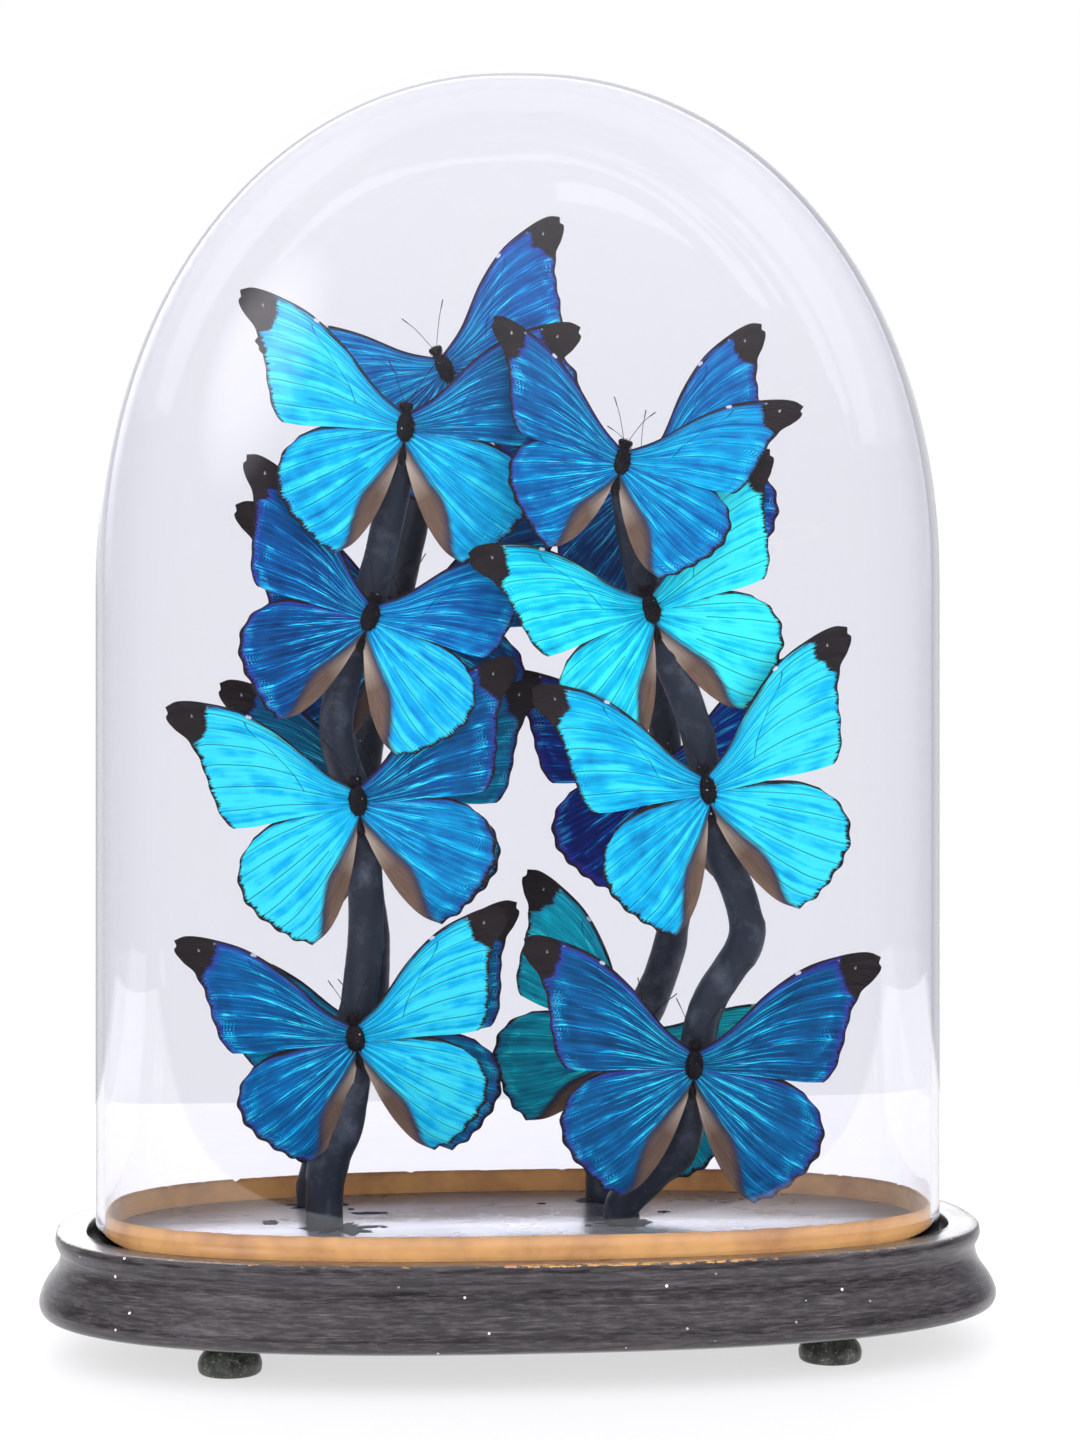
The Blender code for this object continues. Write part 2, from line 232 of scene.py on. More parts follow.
# Wing outlines in lengths of one forewing, x out along the right wing and y towards the head. Each has the
# leading edge from the body out, the outer margin, and the inner margin from the body out.
FOREWING = {
    "leading": (
        (0.0, 0.07), (0.16, 0.19), (0.34, 0.385), (0.52, 0.525), (0.70, 0.597), (0.82, 0.62), (0.885, 0.60)
    ),
    "margin": (
        (0.885, 0.60),
        (0.885, 0.52),
        (0.81, 0.43),
        (0.762, 0.32),
        (0.738, 0.20),
        (0.715, 0.09),
        (0.68, 0.0),
        (0.64, -0.035),
    ),
    "inner": ((0.0, -0.012), (0.18, -0.022), (0.35, -0.028), (0.52, -0.04), (0.64, -0.035)),
    "veins": (0.0, 0.07, 0.21, 0.36, 0.51, 0.67, 0.84, 1.0),
    "vein_starts": (0.0, 0.0, 0.60, 0.52, 0.43, 0.0, 0.0, 0.0),
    "flecks": ((0.10, 0.88), (0.03, 0.80), (0.012, 0.60), (0.018, 0.615)),
    "level": 1.5,
    "scallop": 0.8,
    "rows": 52,
}
HINDWING = {
    "leading": ((0.0, 0.03), (0.15, 0.01), (0.30, -0.005), (0.44, -0.035), (0.545, -0.09)),
    "margin": (
        (0.545, -0.09),
        (0.625, -0.175),
        (0.66, -0.28),
        (0.645, -0.385),
        (0.59, -0.475),
        (0.51, -0.555),
        (0.42, -0.625),
        (0.33, -0.66),
    ),
    "inner": (
        (0.0, -0.08),
        (0.01, -0.13),
        (0.045, -0.25),
        (0.09, -0.37),
        (0.15, -0.49),
        (0.235, -0.60),
        (0.33, -0.66),
    ),
    "veins": (0.0, 0.16, 0.31, 0.46, 0.60, 0.74, 0.87, 1.0),
    "vein_starts": (0.0, 0.0, 0.44, 0.40, 0.36, 0.0, 0.0, 0.0),
    "flecks": ((0.5, 4.0),),
    "level": 0.8,
    "scallop": 1.3,
    "rows": 46,
}
COLUMNS_PER_CELL = 7
WING_THICKNESS = 0.25
FAN_WIDTH = 0.66  # of a forewing, across the veins in the fan map
FAN_REACH = 0.9  # of a forewing, along the veins in the fan map
BLACK_TIP = 15.5  # reach of the black tip of a forewing
SLACK = 0.35
WRINKLE = 0.22
HINDWING_DIP = 3.0  # how far the fold beside the body hangs
WING_LAYERS = ("painted_light", "cast", "vein", "phase", "cross", "black", "fold", "edge", "fleck")
WING_LINES = ("leading", "margin", "inner")
FAR = 50.0  # stands for no vein or mark near
BODY_RADIUS = 4.2  # thorax and the glue that holds it to the branch
NOISE_SEED = 1  # of the vector noise, so that each run gives the same hairs and antennae

# The camera frames the object as the photograph does. Its frame is 1080 by 1440 pixels.
FRAME_HEIGHT = 1440
FRAME_SHIFT = (20, -23)
SENSOR_HEIGHT = 36.0
LENS = 75.0


def linear(code):
    """The linear colour of an sRGB hex value, with its alpha."""
    values = [int(code[i : i + 2], 16) / 255 for i in (1, 3, 5)]
    return (*[v / 12.92 if v <= 0.04045 else ((v + 0.055) / 1.055) ** 2.4 for v in values], 1.0)


def colour_property(label, about, code):
    """A colour that a user can change, with its default as an sRGB hex value."""
    return bpy.props.FloatVectorProperty(
        name=label, description=about, subtype="COLOR", size=4, min=0.0, max=1.0, default=linear(code)
    )


class BaseSettings(bpy.types.PropertyGroup):
    stain: colour_property("Stain", "Black stain of the wood", "#0d0b0c")
    worn: colour_property("Worn wood", "Bare wood where the edges are chipped", "#b98a55")
    chip_depth: bpy.props.FloatProperty(
        name="Chip depth", description="Depth of the chips along the rim", default=0.0006, unit="LENGTH"
    )


class FloorSettings(bpy.types.PropertyGroup):
    # Painted reflection: the black lacquer is given a mid grey colour, as it looks by reflection at a low
    # angle.
    lacquer: colour_property("Lacquer", "Black lacquer of the floor board", "#58595f")
    card: colour_property("Veneer", "Honey colour of the band", "#ffb566")
    card_stain: colour_property("Veneer stain", "Darker stain of the band", "#cf9360")


class GlassSettings(bpy.types.PropertyGroup):
    tint: colour_property("Tint", "Tint of the glass", "#fafaff")
    ior: bpy.props.FloatProperty(name="IOR", description="Index of refraction of the glass", default=1.5)
    wall: bpy.props.FloatProperty(
        name="Wall", description="Thickness of the glass", default=0.003, unit="LENGTH"
    )


class BranchSettings(bpy.types.PropertyGroup):
    paint: colour_property("Paint", "Black paint on the branches", "#29313e")
    scuff: colour_property("Scuffs", "Grey bloom on the paint", "#7d8796")
    knot_height: bpy.props.FloatProperty(
        name="Knots", description="Height of the knots on a branch", default=0.0011, unit="LENGTH"
    )


class ButterflySettings(bpy.types.PropertyGroup):
    # The four blues are painted light: deep blue stands for a wing in shade, and bright blue and flash for
    # one facing the light.
    deep: colour_property("Deep blue", "Wing where its scales throw no light back", "#043a66")
    middle: colour_property("Blue", "Wing where its scales throw some light back", "#006fb4")
    bright: colour_property("Bright blue", "Wing where its scales face the light", "#00c6fb")
    flash: colour_property("Flash", "Brightest glint of the scales", "#40eeff")
    margin: colour_property("Margin", "Tips and margins of the wings", "#231e1f")
    fold_colour: colour_property("Fold", "Fur of the folds beside the body", "#5a463a")
    under: colour_property("Underside", "Underside of the wings", "#5c4433")
    pleat: bpy.props.FloatProperty(
        name="Pleat", description="Depth of the pleats between the veins", default=0.0004, unit="LENGTH"
    )
    camber: bpy.props.FloatProperty(
        name="Camber", description="How far the middle of a wing bulges", default=0.0009, unit="LENGTH"
    )


class StageSettings(bpy.types.PropertyGroup):
    floor: colour_property("Floor", "Colour of the table under the dome", "#908f91")
    distance: bpy.props.FloatProperty(
        name="Camera distance",
        description="From the camera to the middle of the dome",
        default=1.185,
        unit="LENGTH",
    )
    height: bpy.props.FloatProperty(
        name="Camera height", description="Height of the camera over the table", default=0.253, unit="LENGTH"
    )
    turn: bpy.props.FloatProperty(
        name="Camera turn",
        description="How far round the camera stands",
        default=math.radians(5.5),
        unit="ROTATION",
    )


class DomeSettings(bpy.types.PropertyGroup):
    base: bpy.props.PointerProperty(type=BaseSettings)
    floor: bpy.props.PointerProperty(type=FloorSettings)
    glass: bpy.props.PointerProperty(type=GlassSettings)
    branch: bpy.props.PointerProperty(type=BranchSettings)
    butterfly: bpy.props.PointerProperty(type=ButterflySettings)
    stage: bpy.props.PointerProperty(type=StageSettings)


# Shapes


def signed_power(value, power):
    return math.copysign(abs(value) ** power, value)


def oval_place(angle, offset, height):
    """A point of the oval ring at an offset outside the glass."""
    x = (GLASS_HALF_LENGTH + offset) * signed_power(math.cos(angle), 2 / OVAL_POWER)
    y = (GLASS_HALF_DEPTH + offset) * signed_power(math.sin(angle), 2 / OVAL_POWER)
    return Vector((x, y, height))


def smooth(route, per_span):
    """Points along a smooth curve through the route, a number of them for each of its spans."""
    route = [Vector(point) for point in route]
    ends = [2 * route[0] - route[1], *route, 2 * route[-1] - route[-2]]
    points = []
    for k in range(len(route) - 1):
        a, b, c, d = ends[k : k + 4]
        for step in range(per_span):
            t = step / per_span
            square = (2 * a - 5 * b + 4 * c - d) * t * t
            cube = (3 * b - a - 3 * c + d) * t**3
            bend = 2 * b + (c - a) * t + square + cube
            points.append(bend / 2)
    return [*points, route[-1]]


def along(points, count):
    """Points at even distances along a fine chain of points."""
    lengths = [0.0]
    for a, b in zip(points, points[1:]):
        lengths.append(lengths[-1] + (b - a).length)
    found = []
    k = 0
    for i in range(count):
        place = lengths[-1] * i / (count - 1)
        while k < len(points) - 2 and lengths[k + 1] < place:
            k += 1
        span = lengths[k + 1] - lengths[k]
        found.append(points[k].lerp(points[k + 1], (place - lengths[k]) / span if span else 0.0))
    return found


def spin_profile(bm, profile, steps):
    """Turns an outline of (radius, height) pairs once round the Z axis."""
    verts = [bm.verts.new((radius, 0.0, height)) for radius, height in profile]
    edges = [bm.edges.new(pair) for pair in zip(verts, verts[1:])]
    bmesh.ops.spin(
        bm,
        geom=[*verts, *edges],
        cent=(0, 0, 0),
        axis=(0, 0, 1),
        angle=2 * math.pi,
        steps=steps,
        use_merge=True,
        use_duplicate=False,
    )


def oval_spin(bm, profile, steps):
    """Spins an outline of (offset, height) pairs and draws each ring out to the oval."""
    spin_profile(bm, [(TURNING_RADIUS + offset, height) for offset, height in profile], steps)
    for vert in bm.verts:
        angle = math.atan2(vert.co.y, vert.co.x)
        offset = math.hypot(vert.co.x, vert.co.y) - TURNING_RADIUS
        vert.co = oval_place(angle, offset, vert.co.z)


def close_ends(bm):
    """Fills every open ring with one flat face."""
    bmesh.ops.holes_fill(bm, edges=[edge for edge in bm.edges if edge.is_boundary], sides=0)
    bmesh.ops.recalc_face_normals(bm, faces=bm.faces)


def finish_piece(bm, name, materials, nodes, sharp_angle=None):
    """Makes a bmesh in millimetres into a piece that stands for some nodes."""
    bmesh.ops.scale(bm, vec=(MM, MM, MM), verts=bm.verts)
    mesh = bpy.data.meshes.new(name)
    bm.to_mesh(mesh)
    bm.free()
    mesh.shade_smooth()
    if sharp_angle:
        mesh.set_sharp_from_angle(angle=math.radians(sharp_angle))
    piece = bpy.data.objects.new(name, mesh)
    bpy.context.scene.collection.objects.link(piece)
    for material in materials:
        mesh.materials.append(material)
    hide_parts(*nodes)
    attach(piece, BODY)
    return piece


# Materials


SPAN_SOCKETS = ("From Min", "From Max", "To Min", "To Max")


def add_node(tree, kind, inputs=None, stops=(), span=(), **settings):
    """Adds a node with its settings and links.

    An input is a value, a socket, or a node whose first output feeds it. A ramp has stops, as places and
    colours, and a map range has a span: from low to high, and what they become.
    """
    made = tree.nodes.new(f"ShaderNode{kind}")
    for name, value in settings.items():
        setattr(made, name, value)
    for socket, value in ((inputs or {}) | dict(zip(SPAN_SOCKETS, span))).items():
        if isinstance(value, bpy.types.Node):
            value = value.outputs[0]
        if isinstance(value, bpy.types.NodeSocket):
            tree.links.new(value, made.inputs[socket])
        else:
            made.inputs[socket].default_value = value
    for k, (place, colour) in enumerate(stops):
        elements = made.color_ramp.elements
        element = elements[k] if k < len(elements) else elements.new(place)
        element.position = place
        element.color = colour
    return made


def new_material(name, **values):
    """A material with a plain Principled shader, whose sockets take the values given."""
    material = bpy.data.materials.new(name)
    material.use_nodes = True
    tree = material.node_tree
    shader = tree.nodes["Principled BSDF"]
    for socket, value in values.items():
        shader.inputs[socket.replace("_", " ")].default_value = value
    return material, tree, shader


def connect(tree, shader, **nodes):
    """Feeds sockets of a shader from the first outputs of nodes."""
    for socket, node in nodes.items():
        tree.links.new(node.outputs[0], shader.inputs[socket.replace("_", " ")])


BLACK = (0.0, 0.0, 0.0, 1.0)
WHITE = (1.0, 1.0, 1.0, 1.0)


def ebonised_wood(settings):
    """Pear or beech, stained black and French polished, then worn: satin, with fine level grain."""
    material, tree, shader = new_material(
        "Ebonised wood, polished and worn", Specular_IOR_Level=0.5, Coat_Weight=0.5, Coat_Roughness=0.22
    )
    place = add_node(tree, "TexCoord").outputs["Object"]
    # The grain runs level round the oval, with lines about 0.8 mm apart.
    stretched = add_node(tree, "Mapping", {"Vector": place, "Scale": (44, 44, 1200)})
    grain = add_node(tree, "TexNoise", {"Vector": stretched, "Scale": 1.0, "Detail": 6.0, "Roughness": 0.7})
    cloud = add_node(tree, "TexNoise", {"Vector": place, "Scale": 42.0, "Detail": 4.0})
    lines = add_node(tree, "ValToRGB", {"Fac": grain}, stops=((0.38, BLACK), (0.64, WHITE)))
    stain = add_node(tree, "MixRGB", {"Fac": lines, "Color1": settings.stain, "Color2": linear("#2a2528")})
    # Short streaks, 1 mm wide and some 8 mm long, where the polish is rubbed.
    short = add_node(tree, "Mapping", {"Vector": place, "Scale": (110, 110, 900)})
    rub = add_node(tree, "TexNoise", {"Vector": short, "Scale": 1.0, "Detail": 6.0, "Roughness": 0.75})
    rubbed = add_node(tree, "ValToRGB", {"Fac": rub}, stops=((0.46, BLACK), (0.72, WHITE)))
    stain = add_node(tree, "MixRGB", {"Fac": rubbed, "Color1": stain, "Color2": linear("#4c4549")})
    # Pale level scratches, 0.7 mm wide and some 30 mm long, in patches.
    drawn = add_node(tree, "Mapping", {"Vector": place, "Scale": (34, 34, 1500)})
    scratch = add_node(tree, "TexNoise", {"Vector": drawn, "Scale": 1.0, "Detail": 2.0})
    thin = add_node(tree, "ValToRGB", {"Fac": scratch}, stops=((0.62, BLACK), (0.68, WHITE)))
    patch = add_node(tree, "ValToRGB", {"Fac": cloud}, stops=((0.46, BLACK), (0.66, WHITE)))
    scraped = add_node(tree, "Math", {0: thin, 1: patch}, operation="MULTIPLY")
    faint = add_node(tree, "Math", {0: scraped, 1: 0.22}, operation="MULTIPLY")
    scratched = add_node(tree, "MixRGB", {"Fac": faint, "Color1": stain, "Color2": linear("#9a9094")})
    # Specks of white dust and paint, 1 mm wide and some 6 mm apart, in clusters.
    dots = add_node(tree, "TexVoronoi", {"Vector": place, "Scale": 160.0, "Randomness": 1.0})
    rare = add_node(tree, "Math", {0: dots.outputs["Color"], 1: 0.66}, operation="GREATER_THAN")
    near = add_node(tree, "Math", {0: dots.outputs["Distance"], 1: 0.09}, operation="LESS_THAN")
    speck = add_node(tree, "Math", {0: rare, 1: near}, operation="MULTIPLY")
    cluster = add_node(tree, "ValToRGB", {"Fac": cloud}, stops=((0.40, BLACK), (0.52, WHITE)))
    speck = add_node(tree, "Math", {0: speck, 1: cluster}, operation="MULTIPLY")
    spotted = add_node(tree, "MixRGB", {"Fac": speck, "Color1": scratched, "Color2": linear("#d8d5d3")})
    # Grey dust lies on the rim.
    dust = add_node(tree, "Attribute", attribute_name="dust")
    settled = add_node(tree, "Math", {0: dust.outputs["Fac"], 1: cloud}, operation="MULTIPLY")
    dusty = add_node(tree, "MixRGB", {"Fac": settled, "Color1": spotted, "Color2": linear("#4d4a48")})
    # Bare wood shows in small chips, 2 to 6 mm long, where the edges are knocked.
    chip = add_node(tree, "Attribute", attribute_name="chip")
    knocks = add_node(tree, "TexNoise", {"Vector": place, "Scale": 260.0, "Detail": 6.0, "Roughness": 0.75})
    worn = add_node(tree, "Math", {0: chip.outputs["Fac"], 1: knocks}, operation="MULTIPLY")
    bare = add_node(tree, "ValToRGB", {"Fac": worn}, stops=((0.355, BLACK), (0.375, WHITE)))
    colour = add_node(tree, "MixRGB", {"Fac": bare, "Color1": dusty, "Color2": settings.worn})
    rough = add_node(tree, "MapRange", {"Value": cloud}, span=(0.3, 0.7, 0.24, 0.40))
    bump = add_node(tree, "Bump", {"Height": grain, "Strength": 0.35, "Distance": 0.0003})
    connect(tree, shader, Base_Color=colour, Roughness=rough, Normal=bump)
    return material


def rubbed_paint(settings):
    """Thin black paint on turned feet, rubbed and dusty: greenish black with painted silvery glints on the
    bulge.
    """
    material, tree, shader = new_material("Black paint on turned wood, rubbed", Specular_IOR_Level=0.6)
    place = add_node(tree, "TexCoord").outputs["Object"]
    cloud = add_node(tree, "TexNoise", {"Vector": place, "Scale": 160.0, "Detail": 5.0, "Roughness": 0.7})
    tarnish = add_node(tree, "ValToRGB", {"Fac": cloud}, stops=((0.40, BLACK), (0.70, WHITE)))
    paint = add_node(
        tree, "MixRGB", {"Fac": tarnish, "Color1": linear("#151614"), "Color2": linear("#4b4f47")}
    )
    # Painted silvery glints, about 0.5 mm wide, where the paint is tarnished.
    fine = add_node(tree, "TexNoise", {"Vector": place, "Scale": 1400.0, "Detail": 3.0})
    speck = add_node(tree, "ValToRGB", {"Fac": fine}, stops=((0.60, BLACK), (0.66, WHITE)))
    painted_glints = add_node(tree, "Math", {0: speck, 1: tarnish}, operation="MULTIPLY")
    colour = add_node(tree, "MixRGB", {"Fac": painted_glints, "Color1": paint, "Color2": linear("#a4a89f")})
    rough = add_node(tree, "MapRange", {"Value": cloud}, span=(0.0, 1.0, 0.18, 0.5))
    bump = add_node(tree, "Bump", {"Height": cloud, "Strength": 0.4, "Distance": 0.0008})
    connect(tree, shader, Base_Color=colour, Roughness=rough, Normal=bump)
    return material


def black_lacquer(settings):
    """Brushed black gloss paint under old dust, with painted reflection: its colour is painted mid grey,
    paler in soft level streaks, as it looks by reflection at a low angle.
    """
    material, tree, shader = new_material(
        "Black gloss paint, brushed and dusty", IOR=2.0, Metallic=0.25
    )
    place = add_node(tree, "TexCoord").outputs["Object"]
    # Painted reflection and dust: the colour turns pale in soft level streaks, most where the dust noise is
    # high.
    strokes = add_node(tree, "Mapping", {"Vector": place, "Scale": (9, 110, 1)})
    waves = add_node(tree, "TexNoise", {"Vector": strokes, "Scale": 1.0, "Detail": 4.0})
    dust = add_node(tree, "TexNoise", {"Vector": place, "Scale": 26.0, "Detail": 4.0, "Roughness": 0.5})
    reflection_and_dust = add_node(tree, "Math", {0: waves, 1: dust}, operation="MULTIPLY")
    dusty = add_node(tree, "ValToRGB", {"Fac": reflection_and_dust}, stops=((0.08, BLACK), (0.48, WHITE)))
    colour = add_node(
        tree, "MixRGB", {"Fac": dusty, "Color1": settings.lacquer, "Color2": linear("#a0a1aa")}
    )
    rough = add_node(tree, "MapRange", {"Value": dust}, span=(0.3, 0.7, 0.24, 0.32))
    bump = add_node(tree, "Bump", {"Height": waves, "Strength": 0.02, "Distance": 0.0003})
    connect(tree, shader, Base_Color=colour, Roughness=rough, Normal=bump)
    return material


def honey_veneer(settings):
    """A thin strip of softwood veneer, unvarnished: matt, with faint level fibres and old stains."""
    material, tree, shader = new_material(
        "Softwood veneer, unvarnished", Roughness=0.7, Specular_IOR_Level=0.1
    )
    place = add_node(tree, "TexCoord").outputs["Object"]
    fibres = add_node(tree, "Mapping", {"Vector": place, "Scale": (45, 45, 1600)})
    grain = add_node(tree, "TexNoise", {"Vector": fibres, "Scale": 1.0, "Detail": 5.0})
    blotch = add_node(tree, "TexNoise", {"Vector": place, "Scale": 38.0, "Detail": 5.0, "Roughness": 0.6})
    stained = add_node(tree, "ValToRGB", {"Fac": blotch}, stops=((0.42, BLACK), (0.72, WHITE)))
    base = add_node(tree, "MixRGB", {"Fac": grain, "Color1": settings.card, "Color2": linear("#ffce88")})
    dirty = add_node(tree, "MixRGB", {"Fac": stained, "Color1": base, "Color2": settings.card_stain})
    # This attribute darkens the band: along the worn top cut edge, round the back, and most where it meets
    # the board at the back.
    band_darkening = add_node(tree, "Attribute", attribute_name="band_darkening")
    mottle = add_node(tree, "Math", {0: band_darkening.outputs["Fac"], 1: blotch}, operation="MULTIPLY")
    darkened = add_node(tree, "MixRGB", {"Fac": mottle, "Color1": dirty, "Color2": linear("#9a5f40")})
    bump = add_node(tree, "Bump", {"Height": grain, "Strength": 0.2, "Distance": 0.0002})
    connect(tree, shader, Base_Color=darkened, Normal=bump)
    return material


def blown_glass(settings):
    """Clear blown soda glass: colourless, smooth, and see-through by plain transmission."""
    material, _, _ = new_material(
        "Soda glass, blown",
        Base_Color=settings.tint,
        Roughness=0.0,
        IOR=settings.ior,
        Transmission_Weight=1.0,
    )
    return material


def painted_bark(settings):
    """Twigs under thick black satin paint: smooth bark shows through as low ripples, with a grey bloom."""
    material, tree, shader = new_material("Black satin paint on twigs", Specular_IOR_Level=0.5)
    place = add_node(tree, "TexCoord").outputs["Object"]
    cloud = add_node(tree, "TexNoise", {"Vector": place, "Scale": 75.0, "Detail": 6.0, "Roughness": 0.65})
    bloom = add_node(tree, "ValToRGB", {"Fac": cloud}, stops=((0.50, BLACK), (0.78, WHITE)))
    fine = add_node(tree, "TexNoise", {"Vector": place, "Scale": 1500.0, "Detail": 3.0})
    dusty = add_node(tree, "Math", {0: bloom, 1: fine}, operation="MULTIPLY")
    colour = add_node(tree, "MixRGB", {"Fac": dusty, "Color1": settings.paint, "Color2": settings.scuff})
    rough = add_node(tree, "MapRange", {"Value": cloud}, span=(0.3, 0.7, 0.32, 0.5))
    ripples = add_node(tree, "TexNoise", {"Vector": place, "Scale": 320.0, "Detail": 4.0})
    bump = add_node(tree, "Bump", {"Height": ripples, "Strength": 0.3, "Distance": 0.0006})
    connect(tree, shader, Base_Color=colour, Roughness=rough, Normal=bump)
    return material


def dried_pool(settings):
    """The same black paint, dried in a pool on the board: wrinkled, so it stays dark at a low angle."""
    material, tree, shader = new_material(
        "Black paint, dried in a pool", Roughness=0.6, Specular_IOR_Level=0.06
    )
    place = add_node(tree, "TexCoord").outputs["Object"]
    wrinkle = add_node(tree, "TexNoise", {"Vector": place, "Scale": 700.0, "Detail": 4.0})
    colour = add_node(
        tree, "MixRGB", {"Fac": wrinkle, "Color1": linear("#11161f"), "Color2": settings.paint}
    )
    bump = add_node(tree, "Bump", {"Height": wrinkle, "Strength": 0.8, "Distance": 0.0006})
    connect(tree, shader, Base_Color=colour, Normal=bump)
    return material


def wing_scales(settings):
    """Structural blue scales on a pleated membrane: saturated, streaked along the veins, satin, with painted
    light and shade in the colour.
    """
    material, tree, shader = new_material(
        "Structural blue wing scales", Roughness=0.42, Specular_IOR_Level=0.12
    )
    # The fan map has millimetres across the veins in x and along them in y.
    fan = add_node(tree, "UVMap", uv_map="fan").outputs["UV"]
    painted_light, cast, vein, phase, cross, black, fold, edge, fleck = (
        add_node(tree, "Attribute", attribute_name=name).outputs["Fac"] for name in WING_LAYERS
    )
    reach = add_node(tree, "SeparateXYZ", {"Vector": fan}).outputs["Y"]
    # Streaks 0.6 mm wide and some 12 mm long, and broad ones 4 mm wide and 30 mm long.
    thin = add_node(tree, "Mapping", {"Vector": fan, "Scale": (1.7, 0.08, 1.0)})
    streak = add_node(tree, "TexNoise", {"Vector": thin, "Scale": 1.0, "Detail": 3.0, "Roughness": 0.6})
    wide = add_node(tree, "Mapping", {"Vector": fan, "Scale": (0.25, 0.035, 1.0)})
    sweep = add_node(tree, "TexNoise", {"Vector": wide, "Scale": 1.0, "Detail": 2.0})
    patches = add_node(tree, "TexNoise", {"Vector": fan, "Scale": 0.11, "Detail": 2.0})
    # Rows of scales, drawn 0.4 mm apart, which is several times the real spacing.
    grit = add_node(tree, "TexNoise", {"Vector": fan, "Scale": 2.6, "Detail": 4.0, "Roughness": 0.75})

    # The membrane is folded like a fan, so one flank of each vein is lit and the other is dull.
    turned = add_node(tree, "Math", {0: phase, 1: 2 * math.pi}, operation="MULTIPLY")
    wobble = add_node(tree, "Math", {0: sweep, 1: 4.0, 2: turned}, operation="MULTIPLY_ADD")
    pleat = add_node(tree, "Math", {0: wobble}, operation="SINE")
    fine_turn = add_node(tree, "Math", {0: turned, 1: 3.0, 2: streak}, operation="MULTIPLY_ADD")
    fine_pleat = add_node(tree, "Math", {0: fine_turn}, operation="SINE")

    # Herringbone creases 1.4 mm apart slant outwards from the veins, near the margin, painted as light and
    # shade.
    slanted = add_node(tree, "Math", {0: vein, 1: 1.2, 2: reach}, operation="MULTIPLY_ADD")
    shaken = add_node(tree, "Math", {0: sweep, 1: 12.0, 2: slanted}, operation="MULTIPLY_ADD")
    creased = add_node(tree, "Math", {0: shaken, 1: 4.5}, operation="MULTIPLY")
    crease = add_node(tree, "Math", {0: creased}, operation="SINE")
    outer = add_node(tree, "MapRange", {"Value": edge}, span=(1.0, 14.0, 1.0, 0.0))
    patchy = add_node(tree, "ValToRGB", {"Fac": patches}, stops=((0.40, BLACK), (0.58, WHITE)))
    where = add_node(tree, "Math", {0: outer, 1: patchy}, operation="MULTIPLY")
    herringbone = add_node(tree, "Math", {0: crease, 1: where}, operation="MULTIPLY")

    # Painted light: how lit each wing is painted, then painted light and shade of pleats, streaks, creases
    # and scale rows.
    light = add_node(tree, "Math", {0: sweep, 1: 1.15}, operation="SUBTRACT")
    shares = (
        (patches, 0.45),
        (streak, 0.50),
        (grit, 0.36),
        (pleat, 0.10),
        (fine_pleat, 0.05),
        (herringbone, 0.13),
    )
    for part, share in shares:
        light = add_node(tree, "Math", {0: part, 1: share, 2: light}, operation="MULTIPLY_ADD")
    lively = add_node(tree, "MapRange", {"Value": painted_light}, span=(0.1, 0.7, 0.34, 1.0))
    light = add_node(tree, "Math", {0: light, 1: lively, 2: painted_light}, operation="MULTIPLY_ADD")

    # Painted highlights: a dull wing is painted with flashes along its pleats and in dashes by the margin,
    # where they would face the light.
    crest = add_node(tree, "Math", {0: pleat, 1: 0.0}, operation="MAXIMUM")
    sharp = add_node(tree, "Math", {0: crest, 1: 10.0}, operation="POWER")
    hair = add_node(tree, "Math", {0: fine_pleat, 1: 0.0}, operation="MAXIMUM")
    hair = add_node(tree, "Math", {0: hair, 1: 9.0}, operation="POWER")
    hair = add_node(tree, "Math", {0: hair, 1: 0.5}, operation="MULTIPLY")
    dash = add_node(tree, "Math", {0: herringbone, 1: 0.9}, operation="MULTIPLY")
    lit = add_node(tree, "Math", {0: sharp, 1: hair}, operation="MAXIMUM")
    lit = add_node(tree, "Math", {0: lit, 1: dash}, operation="MAXIMUM")
    gate = add_node(tree, "ValToRGB", {"Fac": streak}, stops=((0.44, BLACK), (0.55, WHITE)))
    broken = add_node(tree, "Math", {0: lit, 1: gate}, operation="MULTIPLY")
    # They gather near the body and near the margin.
    rooted = add_node(tree, "MapRange", {"Value": reach}, span=(22.0, 50.0, 1.0, 0.16))
    gathered = add_node(tree, "Math", {0: rooted, 1: where}, operation="MAXIMUM")
    broken = add_node(tree, "Math", {0: broken, 1: gathered}, operation="MULTIPLY")
    # Painted glints on single grains of the scales, in patches.
    painted_grain_glints = add_node(tree, "ValToRGB", {"Fac": grit}, stops=((0.62, BLACK), (0.70, WHITE)))
    sparse = add_node(tree, "Math", {0: painted_grain_glints, 1: patchy}, operation="MULTIPLY")
    sparkle = add_node(tree, "Math", {0: sparse, 1: 0.5}, operation="MULTIPLY")
    painted_flashes = add_node(tree, "Math", {0: broken, 1: sparkle}, operation="MAXIMUM")
    dullness = add_node(tree, "MapRange", {"Value": painted_light}, span=(0.1, 0.8, 2.6, 0.14))
    light = add_node(tree, "Math", {0: painted_flashes, 1: dullness, 2: light}, operation="MULTIPLY_ADD")
    blue = add_node(
        tree,
        "ValToRGB",
        {"Fac": light},
        stops=(
            (0.0, settings.deep),
            (0.32, settings.middle),
            (0.78, settings.bright),
            (1.0, settings.flash),
        ),
    )
    hue = add_node(tree, "Math", {0: cast, 1: -0.04, 2: 0.5}, operation="MULTIPLY_ADD")
    tinted = add_node(tree, "HueSaturation", {"Hue": hue, "Color": blue})

    # Thin dark lines along the veins and across the end of the cell.
    line = add_node(tree, "ValToRGB", {"Fac": vein}, stops=((0.06, WHITE), (0.28, BLACK)))
    cell_end = add_node(tree, "Math", {0: cross}, operation="ABSOLUTE")
    line_end = add_node(tree, "ValToRGB", {"Fac": cell_end}, stops=((0.15, WHITE), (0.45, BLACK)))
    lines = add_node(tree, "Math", {0: line, 1: line_end}, operation="MAXIMUM")
